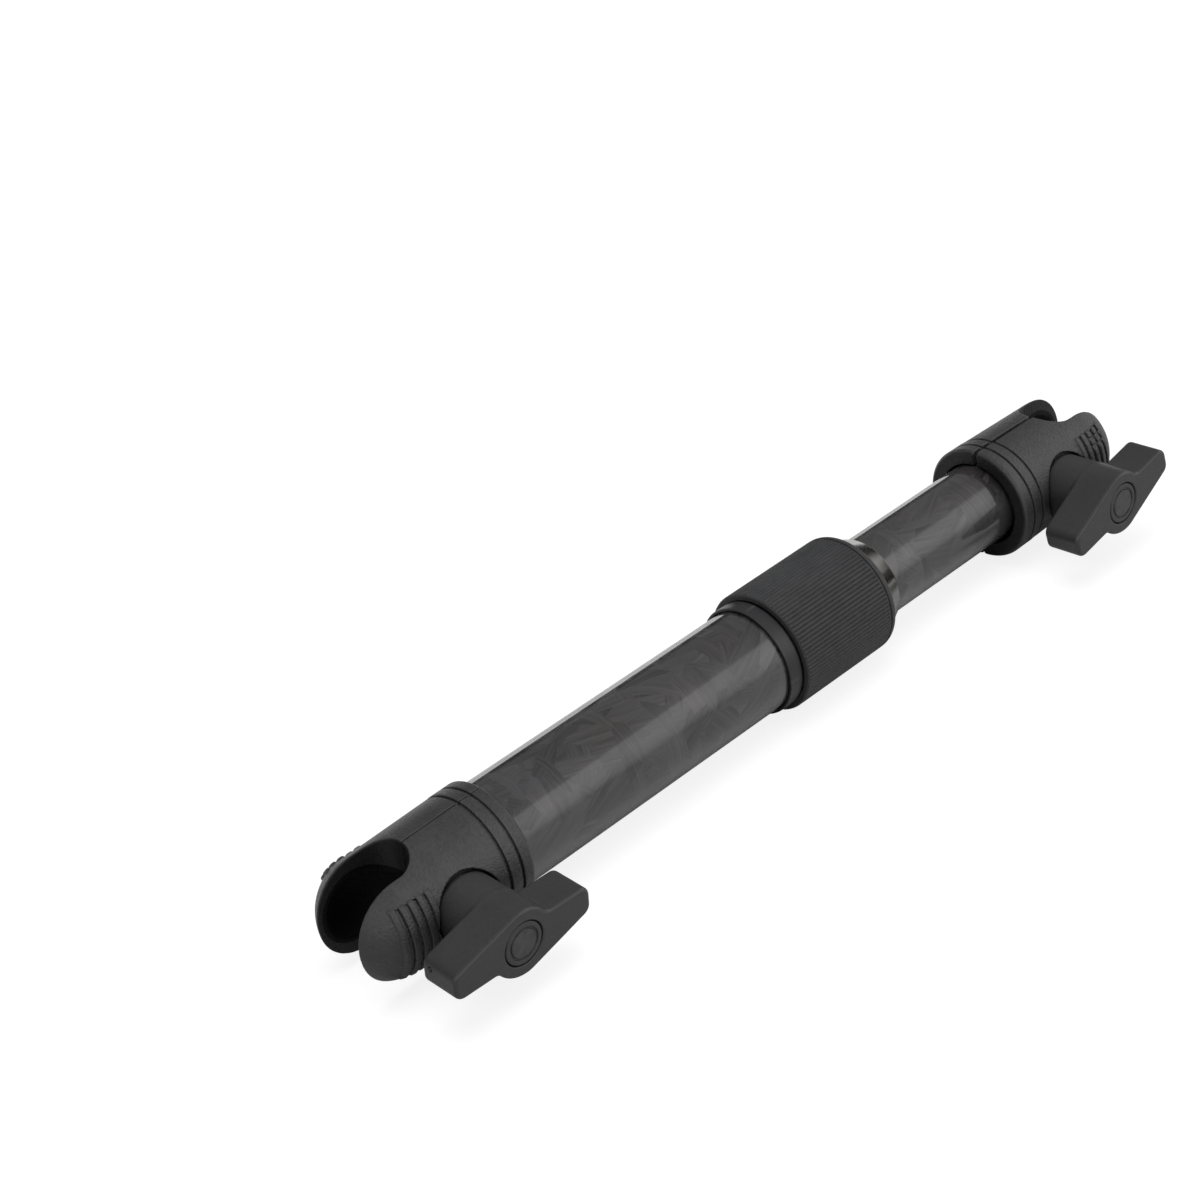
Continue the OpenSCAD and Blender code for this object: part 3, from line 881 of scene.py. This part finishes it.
def moulded(name, dark, light, rough, grain, grain_scale, wear, socket=None):
    """Moulded black nylon: mottled tone, spark grain, paler and smoother rubbed edges, and with a socket given,
    painted shade in the ball socket, slot and collar face.
    """
    m = Material(name)
    cloud = m.noise(m.point, scale=55.0, detail=3.0, rough=0.5)
    mottle = m.noise(m.point, scale=grain_scale * 0.42, detail=4.0, rough=0.6)
    fine = m.noise(m.point, scale=grain_scale, detail=3.0, rough=0.6)
    cell = m.voronoi(m.point, scale=grain_scale * 0.8)["Distance"]
    tone = m.remap(m.weighted((cloud, 0.45), (mottle, 0.55)), span=(0.36, 0.64))
    color = m.mix(tone, dark, light)
    edge = m.edges(span=(0.515, 0.60))
    streaks = m.mapping(m.point, turn=(0.3, 0.2, 0.5), scale=(1.0, 3.0, 1.0))
    scuff = m.remap(m.noise(streaks, scale=260.0, detail=4.0, rough=0.7), span=(0.56, 0.70))
    least, most = 0.35, 0.65  # wear on every edge, and what scuffs add to it
    worn = m.mul(edge, m.add(least, m.mul(scuff, most)), clamp=True)
    pale = tuple(min(1.0, c * wear) for c in light[:3]) + (1.0,)
    color = m.mix(worn, color, pale)
    spec = 0.5
    # painted shade: darker colour and less specular in the ball socket, the slot and on the collar face
    if socket is not None:
        painted_shade = painted_socket_shade(m, socket)
        color = m.mix(painted_shade, grey(0.0), color)
        spec = m.mul(painted_shade, spec)
    worn_gloss = -0.08  # change of roughness where worn
    roughness = m.add(m.remap(fine, to=(rough - 0.06, rough + 0.07)), m.mul(worn, worn_gloss))
    height = m.weighted((fine, 0.6), (cell, 0.5), (mottle, 0.5))
    m.set(color=color, rough=roughness, ior=1.5, spec=spec,
          normal=m.bump(height, strength=grain, distance=0.00022))
    return m.material


# turn in radians, chips per metre along and across, and the level above which the layer covers
# those below it (the first one lies under all the others)
CARBON_LAYERS = [
    (0.12, 52, 150, 0.00), (1.05, 58, 165, 0.50), (2.25, 50, 150, 0.54),
    (2.85, 66, 190, 0.55), (0.45, 44, 135, 0.58), (1.60, 84, 230, 0.68)]
LAYER_SHIFT = (0.073, 0.039)       # metres from one layer to the next
FIBRE_SCALE = (38.0, 1050.0, 1.0)  # stretched along the chip


def carbon(name, radius, shift):
    """Forged carbon: overlapping chopped tow under a clear coat.

    Each chip has its own tone, fibre lines and tilt. radius and shift are in metres.
    """
    m = Material(name)
    x, y, z = m.separate(m.point)
    # unwrapped round the tube, joined between -Y and -Z... see the signs: where y + z = 0, z < y
    angle = m.math("ARCTAN2", m.mul(m.add(y, z), -1.0), m.sub(z, y))
    flat = m.combine(m.add(x, shift), m.mul(angle, radius))
    warp = 0.002  # metres that chips are pushed about by
    warp_x = m.noise(flat, scale=90.0, detail=2.0, rough=0.5)
    warp_y = m.noise(m.mapping(flat, shift=(3.1, 1.7, 0.4)), scale=75.0, detail=2.0, rough=0.5)
    warped = m.vmath("ADD", flat, m.combine(m.swing(warp_x, warp), m.swing(warp_y, warp)))
    # each layer is turned first and stretched after, so its chips and fibres run their own way
    for i, (turn, along, across, cover) in enumerate(CARBON_LAYERS):
        laid = m.mapping(warped, turn=(0, 0, turn),
                         shift=(LAYER_SHIFT[0] * i, LAYER_SHIFT[1] * i, 0))
        chips = m.voronoi(m.vmath("MULTIPLY", laid, (along, across, 1.0)), scale=1.0,
                          dimensions="2D")
        red, green, blue = m.separate(chips["Color"], "ShaderNodeSeparateColor")[:3]
        lines = m.noise(m.vmath("MULTIPLY", laid, FIBRE_SCALE), scale=1.0, detail=3.0, rough=0.7)
        chip_tone = m.weighted((red, 0.42), (m.remap(lines), 0.5))
        if i == 0:
            tone, tilt_x, tilt_y, fibre = chip_tone, green, blue, lines
        else:
            mask = m.remap(blue, span=(cover, cover + 0.06))
            tone = m.mix_value(mask, tone, chip_tone)
            tilt_x = m.mix_value(mask, tilt_x, green)
            tilt_y = m.mix_value(mask, tilt_y, red)
            fibre = m.mix_value(mask, fibre, lines)
    cloud = m.noise(flat, scale=28.0, detail=3.0, rough=0.55)
    tone = m.remap(m.weighted((tone, 0.85), (cloud, 0.35)), span=(0.25, 0.95))
    color = m.mix(tone, (0.017, 0.016, 0.016, 1.0), (0.080, 0.076, 0.077, 1.0))
    drift = m.remap(m.noise(flat, scale=60.0, detail=2.0, rough=0.5), span=(0.35, 0.65))
    hue = m.mix(drift, (1.03, 1.0, 0.97, 1.0), (0.98, 0.99, 1.04, 1.0))
    color = m.mix(1.0, color, hue, blend="MULTIPLY")
    # each chip lies at its own slight tilt, given as the change of its normal in x, y and z
    normal = m.node("ShaderNodeNewGeometry").outputs["Normal"]
    tilt = m.combine(m.swing(tilt_x, 0.14), m.swing(tilt_y, 0.13), m.swing(tilt_x, -0.10))
    tilted = m.vmath("NORMALIZE", m.vmath("ADD", normal, tilt))
    coat_grain = m.noise(m.point, scale=700.0, detail=2.0, rough=0.5)
    coat_wave = m.noise(m.point, scale=42.0, detail=2.0, rough=0.5)
    m.set(color=color, metal=0.5, rough=m.remap(fibre, to=(0.42, 0.58)),
          normal=m.bump(fibre, strength=0.35, distance=0.00012, normal=tilted),
          coat=1.0, coat_rough=m.remap(coat_grain, to=(0.025, 0.06)),
          coat_normal=m.bump(coat_wave, strength=0.12, distance=0.0006))
    return m.material


def grip_rubber(name):
    m = Material(name)
    cloud = m.noise(m.point, scale=70.0, detail=3.0, rough=0.5)
    fine = m.noise(m.point, scale=2600.0, detail=3.0, rough=0.6)
    mottle = m.noise(m.mapping(m.point, scale=(0.5, 1, 1)), scale=420.0, detail=4.0, rough=0.65)
    tone = m.remap(m.weighted((cloud, 0.4), (mottle, 0.6)), span=(0.36, 0.64))
    color = m.mix(tone, (0.0165, 0.0165, 0.0175, 1), (0.030, 0.030, 0.0315, 1))
    edge_wear = 0.5
    worn = m.mul(m.edges(span=(0.51, 0.58)), edge_wear)
    color = m.mix(worn, color, (0.055, 0.055, 0.057, 1))
    height = m.weighted((fine, 0.6), (mottle, 0.4))
    m.set(color=color, rough=m.remap(fine, to=(0.58, 0.72)), ior=1.47,
          normal=m.bump(height, strength=0.35, distance=0.00015), sheen=0.06, sheen_rough=0.5)
    return m.material


def seal_rubber(name):
    m = Material(name)
    grain = m.noise(m.point, scale=900.0, detail=3.0, rough=0.6)
    m.set(color=m.mix(grain, grey(0.010), grey(0.02)), rough=m.remap(grain, to=(0.35, 0.5)),
          normal=m.bump(grain, strength=0.2, distance=0.0001))
    return m.material


def anodised(name, dark, light, rough, ring_scale, strength, metal, ior):
    """Turned and anodised aluminium: fine rings round the axis, slight tone drift."""
    m = Material(name)
    along = m.combine(m.separate(m.point)[0])
    ring = m.noise(along, scale=ring_scale, detail=3.0, rough=0.7)
    cloud = m.noise(m.point, scale=120.0, detail=3.0, rough=0.5)
    fine = m.noise(m.point, scale=3000.0, detail=2.0, rough=0.5)
    tone = m.remap(m.weighted((ring, 0.5), (cloud, 0.5)), span=(0.35, 0.65))
    color = m.mix(tone, dark, light)
    edge_wear, fine_share = 0.35, 0.25
    worn = m.mul(m.edges(span=(0.52, 0.60)), edge_wear)
    color = m.mix(worn, color, (0.11, 0.11, 0.115, 1))
    height = m.add(ring, m.mul(fine, fine_share))
    m.set(color=color, rough=m.remap(fine, to=(rough - 0.03, rough + 0.04)),
          normal=m.bump(height, strength=strength, distance=0.00006), metal=metal, ior=ior)
    return m.material


def plain(name, dark, light, rough, scale, metal=1.0):
    """Small parts: one grain and a slow cloud."""
    m = Material(name)
    grain = m.noise(m.mapping(m.point), scale=scale, detail=4.0, rough=0.65)
    cloud = m.noise(m.point, scale=160.0, detail=3.0, rough=0.5)
    tone = m.remap(m.weighted((grain, 0.5), (cloud, 0.5)), span=(0.35, 0.65))
    m.set(color=m.mix(tone, dark, light), metal=metal,
          rough=m.remap(grain, to=(rough - 0.07, rough + 0.09)),
          normal=m.bump(grain, strength=0.15, distance=0.0001))
    return m.material


CLAMP_LOOK = dict(dark=(0.0205, 0.0205, 0.0215, 1), light=(0.036, 0.036, 0.0375, 1),
                  rough=0.44, grain=0.85, grain_scale=1900.0, wear=1.7)
# sockets of the two clamps, where the clamp colours get painted shade in the socket, slot and collar face
BASE_SOCKET = Socket(centre=(0.0, 0.0, 0.0), roll=0.0, inward=1.0, face_x=BASE_FACE / MM)
TIP_SOCKET = Socket(centre=((TIP_FACE + SOCKET_X) / MM, 0.0, 0.0), roll=TIP_ROLL, inward=-1.0,
                    face_x=TIP_FACE / MM)
MATERIALS = {
    "clamp_nylon": moulded("clamp_nylon_black", socket=BASE_SOCKET, **CLAMP_LOOK),
    "knob_nylon": moulded(
        "knob_nylon_satin", dark=(0.021, 0.0205, 0.0215, 1), light=(0.028, 0.0275, 0.0285, 1),
        rough=0.42, grain=0.2, grain_scale=2400.0, wear=2.2),
    "grip_rubber": grip_rubber("grip_rubber_black"),
    "seal_rubber": seal_rubber("seal_rubber_black"),
    "black_anodised": anodised(
        "black_anodised_satin", dark=(0.011, 0.011, 0.012, 1), light=(0.019, 0.019, 0.0205, 1),
        rough=0.36, ring_scale=1500.0, strength=0.12, metal=0.0, ior=1.42),
    "black_anodised_gloss": anodised(
        "black_anodised_bright", dark=(0.20, 0.194, 0.186, 1), light=(0.27, 0.262, 0.25, 1),
        rough=0.15, ring_scale=2200.0, strength=0.08, metal=0.95, ior=1.62),
    "bare_aluminium": plain(
        "aluminium_turned", dark=(0.55, 0.56, 0.58, 1), light=(0.72, 0.73, 0.74, 1),
        rough=0.32, scale=900.0),
    "bright_steel": plain(
        "steel_zinc", dark=(0.46, 0.47, 0.49, 1), light=(0.66, 0.67, 0.68, 1),
        rough=0.30, scale=700.0),
    "black_steel": plain(
        "steel_black_oxide", dark=(0.012, 0.012, 0.013, 1), light=(0.026, 0.026, 0.027, 1),
        rough=0.5, scale=700.0, metal=0.3),
    "insert_brass": plain(
        "brass_turned", dark=(0.50, 0.34, 0.12, 1), light=(0.68, 0.50, 0.22, 1),
        rough=0.30, scale=700.0),
    "natural_nylon": plain(
        "nylon_natural", dark=(0.60, 0.57, 0.48, 1), light=(0.76, 0.74, 0.66, 1),
        rough=0.45, scale=600.0, metal=0.0),
}
tip_nylon = moulded("clamp_nylon_black_tip", socket=TIP_SOCKET, **CLAMP_LOOK)
outer_carbon = carbon("forged_carbon_outer", radius=OUTER_R / MM, shift=0.0)
inner_carbon = carbon("forged_carbon_inner", radius=INNER_R / MM, shift=0.37)

# ------------------------------------------------------------------ materials of the CAD nodes
slots = {part["node"]: part["material_slot"] for part in frame["record"]["subparts"]}
for name, ob in frame["nodes"].items():
    material = MATERIALS.get(slots[name])
    if slots[name] == "forged_carbon":
        material = outer_carbon if name == "outer_tube" else inner_carbon
    ob.data.materials.clear()
    ob.data.materials.append(material)

# ------------------------------------------------------------------ the two clamps
End = namedtuple("End", "name place place_open turn bore_r knob_angle nylon fixed_studs "
                        "moving_studs")
ENDS = (
    End("base", base_map, base_map, base_dir, bore_r=OUTER_R + 0.2,
        knob_angle=math.radians(-3.0), nylon=MATERIALS["clamp_nylon"],
        fixed_studs="tall", moving_studs="none"),
    End("tip", tip_map, tip_map_open, tip_dir, bore_r=INNER_R + 0.5,
        knob_angle=math.radians(10.4), nylon=tip_nylon,
        fixed_studs="both", moving_studs="both"),
)


def build_clamp(end):
    def place_knob(points):
        return end.place_open(knob_map(points, end.knob_angle))

    def turn_knob(vectors):
        return end.turn(knob_dir(vectors, end.knob_angle))

    fixed = solid(end.name + "_shell_fixed_moulded", shell_field(1, end.bore_r, end.fixed_studs),
                  (SHELL_X, FIXED_Y, SHELL_Z), end.place, end.turn)
    add_piece(fixed, end.nylon, end.name + "_clamp", end.name + "_shell_fixed")
    moving = solid(end.name + "_shell_moving_moulded",
                   shell_field(-1, end.bore_r, end.moving_studs),
                   (SHELL_X, MOVING_Y, SHELL_Z), end.place_open, end.turn)
    add_piece(moving, end.nylon, end.name + "_jaw", end.name + "_shell_moving")

    knob_nylon, knob_node = MATERIALS["knob_nylon"], end.name + "_knob"
    wing = solid(knob_node + "_body_moulded", knob_field, KNOB_AXES, place_knob, turn_knob)
    add_piece(wing, knob_nylon, knob_node, knob_node + "_body")
    cap = cap_disc(knob_node + "_cap_disc", place_knob, turn_knob)
    add_piece(cap, knob_nylon, knob_node, knob_node + "_cap")


for end in ENDS:
    build_clamp(end)

# ------------------------------------------------------------------ clamp springs
COIL_TURNS, COIL_R, WIRE_R = 5.5, 3.95, 0.4
COIL_STEPS, WIRE_SIDES = 240, 10
COIL_START_Y, COIL_DROP = 6.3, 11.9
END_PART, END_DROP = 0.09, 0.35  # share of the wire in each flat end, and its own drop in y


def spring(name, place, turn):
    """Round wire coil between the shells, its end turns closed up flat."""
    part = np.linspace(0.0, 1.0, COIL_STEPS + 1)
    angle = 2 * math.pi * COIL_TURNS * part
    run = np.clip((part - END_PART) / (1 - 2 * END_PART), 0, 1)
    y = (COIL_START_Y - run * COIL_DROP
         - END_DROP * (np.minimum(part, END_PART) / END_PART)
         - END_DROP * (1 - np.minimum(1 - part, END_PART) / END_PART))
    centre = np.stack([KNOB_X + COIL_R * np.cos(angle), y, COIL_R * np.sin(angle)], 1)
    along = np.gradient(centre, axis=0)
    along /= np.linalg.norm(along, axis=1, keepdims=True)
    outward = np.stack([np.cos(angle), np.zeros(COIL_STEPS + 1), np.sin(angle)], 1)
    side = np.cross(along, outward)
    verts, normals = [], []
    for k in range(WIRE_SIDES):
        around = 2 * math.pi * k / WIRE_SIDES
        normal = outward * math.cos(around) + side * math.sin(around)
        verts.append(centre + normal * WIRE_R)
        normals.append(normal)
    verts = np.stack(verts, 1).reshape(-1, 3)
    normals = np.stack(normals, 1).reshape(-1, 3)
    quads = []
    for i in range(COIL_STEPS):
        ring, after = i * WIRE_SIDES, (i + 1) * WIRE_SIDES
        for j in range(WIRE_SIDES):
            k = (j + 1) % WIRE_SIDES
            quads.append((ring + j, after + j, after + k, ring + k))
    # the ten-sided wire ends, each closed by four quads
    caps = [(0, 1, 2, 9), (2, 3, 8, 9), (3, 4, 7, 8), (4, 5, 6, 7)]
    last = COIL_STEPS * WIRE_SIDES
    quads = np.array(quads + caps + [tuple(last + j for j in face[::-1]) for face in caps])
    first, second, third = verts[quads[0][:3]]
    if float(np.dot(np.cross(second - first, third - second), normals[quads[0][0]])) < 0:
        quads = quads[:, ::-1]
    return quad_object(name, place(verts), quads, turn(normals))


for end in ENDS:
    node = end.name + "_clamp_spring"
    coil = spring(node + "_coil", end.place, end.turn)
    add_piece(coil, MATERIALS["bright_steel"], end.name + "_clamp", node)


# ------------------------------------------------------------------ tubes
def build_tube(node, radius, wall, segments, material, body):
    lo, hi = box_mm(node)
    corners = [(lo[0], radius - wall, 0.2), (lo[0], radius, 0.3),
               (hi[0], radius, 0.25), (hi[0], radius - wall, 0.2)]
    tube = lathe(node + "_carbon", corners, segments=segments, spacing=6.0)
    add_piece(tube, material, body, node)


build_tube("outer_tube", OUTER_R, wall=2, segments=224, material=outer_carbon, body="outer_bar")
build_tube("inner_tube", INNER_R, wall=1.7, segments=208, material=inner_carbon,
           body="inner_bar")

# ------------------------------------------------------------------ lock ferrule
# Sections from here on: x from the ring's shoulder, radius, corner radius.
ring_r = radius_of("lock_ferrule")
THREAD_R, THREAD_TOP_R = 15.5, 15.9
FERRULE_BORE = INNER_R + 0.08
ferrule_section = [
    (-14.0, FERRULE_BORE, 0.1), (-14.0, OUTER_R - 2.05, 0.3), (4.55, OUTER_R - 2.05, 0.05),
    (4.55, OUTER_R + 0.03, 0.05), (0.45, OUTER_R + 0.03, 0.1), (0.05, OUTER_R + 0.35, 0.08),
    (0.05, ring_r, 0.32), (5.05, ring_r, 0.4), (5.05, 15.3, 0.2), (6.35, 15.3, 0.2),
    (6.35, THREAD_R, 0.05)]
for k in range(12):
    x = 6.6 + 1.5 * k
    ferrule_section += [(x, THREAD_R, 0.05), (x + 0.2, THREAD_TOP_R, 0.08),
                        (x + 0.75, THREAD_TOP_R, 0.08), (x + 0.95, THREAD_R, 0.05)]
ferrule_section += [(24.5, THREAD_R, 0.1), (24.5, INNER_R + 2.2, 0.05),
                    (22.5, INNER_R + 0.2, 0.1), (22.4, FERRULE_BORE, 0.05)]
ferrule = lathe("lock_ferrule_turned", ferrule_section, RING_X, segments=192, arc_steps=3)
add_piece(ferrule, MATERIALS["black_anodised"], "outer_bar", "lock_ferrule")

# ------------------------------------------------------------------ ribbed grip
GRIP_RIBS = 96
GRIP_DEPTH = 0.42
GRIP_SHARPNESS = 2.2   # power that narrows the valleys
GRIP_END_R = 2.2       # rounding of the grip's +X end
GRIP_BORE = 17.02


def grip_relief(x, rad, angle):
    """Rounded ribs with narrow valleys, fading in near each end of the band."""
    fade = np.clip((x - 5.85) / 0.3, 0, 1) * np.clip((42.0 - x) / 0.45, 0, 1)
    fade = fade * fade * (3 - 2 * fade)
    fade = fade * (rad > 18.2)
    wave = 0.5 - 0.5 * np.cos(GRIP_RIBS * angle)
    shape = wave ** GRIP_SHARPNESS
    slope = (GRIP_SHARPNESS * np.maximum(wave, 1e-6) ** (GRIP_SHARPNESS - 1)
             * 0.5 * np.sin(GRIP_RIBS * angle) * GRIP_RIBS)
    return -GRIP_DEPTH * fade * shape, -GRIP_DEPTH * fade * slope


grip_section = [(5.65, GRIP_BORE, 0.05), (5.65, GRIP_R - 0.5, 0.2), (5.95, GRIP_R - 0.1, 0.2),
                (6.15, GRIP_R, 0.2)]
# stations along the ribbed band
grip_section += [(x, GRIP_R, 0.0) for x in (
    6.3, 6.5, 7.25, 12.0, 18.0, 24.0, 30.0, 36.0, 41.5, 41.7, 41.9)]
grip_section += [(42.05, GRIP_R, 0.06), (42.2, GRIP_R - 0.45, 0.08), (42.55, GRIP_R - 0.45, 0.08),
                 (42.7, GRIP_R - 0.02, 0.1), (43.1, GRIP_R - 0.04, 0.3)]
for k in range(1, 8):
    angle = math.radians(90 - 78 * k / 8)
    grip_section.append((43.1 + GRIP_END_R * math.cos(angle),
                         GRIP_R - 2.24 + GRIP_END_R * math.sin(angle), 0.25))
grip_section += [(45.3, GRIP_BORE, 0.1)]
grip = lathe("grip_sleeve_ribbed", grip_section, RING_X, arc_steps=3, relief=grip_relief,
             segments=GRIP_RIBS * 12)
add_piece(grip, MATERIALS["grip_rubber"], "lock_sleeve", "grip_sleeve")

# ------------------------------------------------------------------ nose ring
nose_section = [
    (43.15, INNER_R + 0.2, 0.05), (43.15, 15.95, 0.1), (45.12, 15.95, 0.05), (45.12, 16.62, 0.1),
    (45.42, 16.85, 0.25), (NOSE_END - 0.9, 14.2, 0.9), (NOSE_END - 0.12, 13.62, 0.25),
    (NOSE_END, 13.4, 0.12), (NOSE_END, INNER_R + 0.2, 0.1)]
nose = lathe("nose_ring_turned", nose_section, RING_X, segments=224, arc_steps=5)
add_piece(nose, MATERIALS["black_anodised_gloss"], "lock_sleeve",
          "nose_ring")

# ------------------------------------------------------------------ soft edges on CAD parts
for name, ob in frame["nodes"].items():
    if ob.hide_render:
        continue
    weld = ob.modifiers.new("weld", "WELD")
    weld.merge_threshold = 1e-6
    if "spring" in name:
        ob.data.polygons.foreach_set("use_smooth", np.ones(len(ob.data.polygons), bool))
        continue
    bevel = ob.modifiers.new("edge", "BEVEL")
    bevel.width = 0.00015
    bevel.segments = 2
    bevel.limit_method = "ANGLE"
    bevel.angle_limit = math.radians(35)
    bevel.harden_normals = False

# ------------------------------------------------------------------ floor, in metres
FLOOR_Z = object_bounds()[0].z - 0.0002
FLOOR_X = 0.144  # centre of the round floor, under the bar
FLOOR_RADII = (0.05, 0.1, 0.2, 0.4, 0.8, 1.2, 1.7)


def build_floor(segments=96):
    verts = [(FLOOR_X, 0.0, FLOOR_Z)]
    for radius in FLOOR_RADII:
        for i in range(segments):
            angle = 2 * math.pi * i / segments
            verts.append((FLOOR_X + radius * math.cos(angle), radius * math.sin(angle), FLOOR_Z))
    faces = [(0, 1 + i, 1 + (i + 1) % segments) for i in range(segments)]
    for k in range(1, len(FLOOR_RADII)):
        ring, outer = 1 + (k - 1) * segments, 1 + k * segments
        for i in range(segments):
            j = (i + 1) % segments
            faces.append((ring + i, outer + i, outer + j, ring + j))
    mesh = bpy.data.meshes.new("floor")
    mesh.from_pydata(verts, [], faces)
    mesh.update()
    return link_object("floor", mesh)


def floor_material():
    """Pale floor with its own tone for each kind of ray."""
    m = Material("floor_pale")
    ray = m.node("ShaderNodeLightPath").outputs

    def tone(dark, light):
        cloud = m.noise(m.point, scale=6.0, detail=2.0, rough=0.5)
        return m.mix(cloud, grey(dark), grey(light))

    to_others = tone(dark=0.86, light=0.89)
    to_camera = tone(dark=0.19, light=0.21)
    to_diffuse = tone(dark=0.32, light=0.36)
    to_glossy = tone(dark=0.52, light=0.55)
    color = m.mix(ray["Is Glossy Ray"], to_others, to_glossy)
    color = m.mix(ray["Is Diffuse Ray"], color, to_diffuse)
    color = m.mix(ray["Is Camera Ray"], color, to_camera)
    # glows to the camera, and towards +Y in reflections
    far_side = m.remap(m.separate(m.point)[1], span=(0.02, 0.3))
    glow = m.weighted((ray["Is Camera Ray"], 0.84), (ray["Is Glossy Ray"], far_side))
    m.set(color=color, rough=0.85, ior=1.3, glow_color=grey(1), glow=glow)
    return m.material


floor = build_floor()
floor.data.materials.append(floor_material())


# ------------------------------------------------------------------ lights
def softbox(name, location, target, width, height, power):
    light = bpy.data.lights.new(name, "AREA")
    light.shape = "RECTANGLE"
    light.size, light.size_y = width, height
    light.energy = power
    light.color = (1, 1, 1)
    ob = link_object(name, light)
    ob.location = location
    ob.rotation_mode = "QUATERNION"
    aim = Vector(target) - Vector(location)
    ob.rotation_quaternion = aim.to_track_quat("-Z", "Y")
    ob.visible_glossy = False


softbox("front_box", location=(0.75, -0.95, 0.62), target=(0.14, 0.0, 0.0),
        width=1.1, height=0.9, power=3.6)
softbox("top_box", location=(0.08, -0.05, 1.4), target=(0.12, 0.0, 0.0),
        width=1.1, height=1.1, power=16.5)

# ------------------------------------------------------------------ world
# Sky brightness by height: (position, grey), position 0 straight down, 0.5 the horizon, 1 up.
# Seen in reflections: a soft bright panel on the -Y side, a dark band at the +Y horizon.
SKY_BEHIND = [(0.0, 0.5), (0.488, 1.0), (0.5, 0.004), (0.58, 0.004), (0.62, 0.22), (0.75, 0.3),
              (0.9, 0.36), (1.0, 0.34)]
SKY_BEFORE = [(0.0, 0.3), (0.48, 0.42), (0.53, 0.7), (0.60, 1.35), (0.74, 1.75), (0.835, 1.6),
              (0.86, 0.55), (0.91, 0.36), (1.0, 0.34)]
# Light that falls on the bar from the room: little of it from the -X end.
SKY_LIT = [(0.0, 0.25), (0.5, 0.16), (0.6, 0.3), (0.8, 0.5), (1.0, 0.7)]
SKY_UNLIT = [(0.0, 0.08), (0.5, 0.03), (0.7, 0.06), (0.9, 0.4), (1.0, 0.7)]


def build_world():
    world = bpy.data.worlds.new("studio")
    bpy.context.scene.world = world
    g = Graph(world, "ShaderNodeOutputWorld")
    x, y, z = g.separate(g.node("ShaderNodeTexCoord").outputs["Generated"])
    height = g.remap(z, span=(-1.0, 1.0))

    def sky(stops):
        ramp = g.node("ShaderNodeValToRGB")
        g.put(ramp.inputs[0], height)
        elements = ramp.color_ramp.elements
        for element, (position, value) in zip(elements[:2], (stops[0], stops[-1])):
            element.position = position
            element.color = grey(value)
        for position, value in stops[1:-1]:
            elements.new(position).color = grey(value)
        return ramp.outputs[0]

    def across(direction, span):
        return g.remap(direction, span=span, interpolation_type="SMOOTHSTEP")

    def background(color):
        node = g.node("ShaderNodeBackground")
        g.put(node.inputs[0], color)
        g.put(node.inputs[1], 1.0)
        return node.outputs[0]

    behind, before = sky(SKY_BEHIND), sky(SKY_BEFORE)
    mirror = g.mix(across(y, span=(0.0, 0.3)), before, behind)
    lit, unlit = sky(SKY_LIT), sky(SKY_UNLIT)
    soft = g.mix(across(x, span=(-0.75, 0.35)), unlit, lit)
    glossy = g.node("ShaderNodeLightPath").outputs["Is Glossy Ray"]
    room = background(g.mix(glossy, soft, mirror))
    white = background(grey(1))
    camera_ray = g.node("ShaderNodeLightPath").outputs["Is Camera Ray"]
    shader = g.node("ShaderNodeMixShader")
    for socket, value in zip(shader.inputs, (camera_ray, room, white)):
        g.put(socket, value)
    g.put(g.out.inputs[0], shader.outputs[0])


build_world()

view = bpy.context.scene.view_settings
view.view_transform = "Standard"
view.look = "None"
view.exposure = 0.0

# ------------------------------------------------------------------ camera
camera = bpy.data.cameras.new("camera")
camera.sensor_width = 36.0
camera.lens = 76.722
camera.clip_start, camera.clip_end = 0.01, 20.0
camera_right = Vector((0.70560614, -0.70232451, -0.09412897))
camera_up = Vector((0.45057082, 0.34216368, 0.82456652))
camera_forward = Vector((0.54690576, 0.62423096, -0.55787972))
pose = Matrix((camera_right, camera_up, -camera_forward)).transposed().to_4x4()
pose.translation = (-0.282363, -0.423265, 0.428878)
camera_object = link_object("camera", camera)
camera_object.matrix_world = pose
bpy.context.scene.camera = camera_object
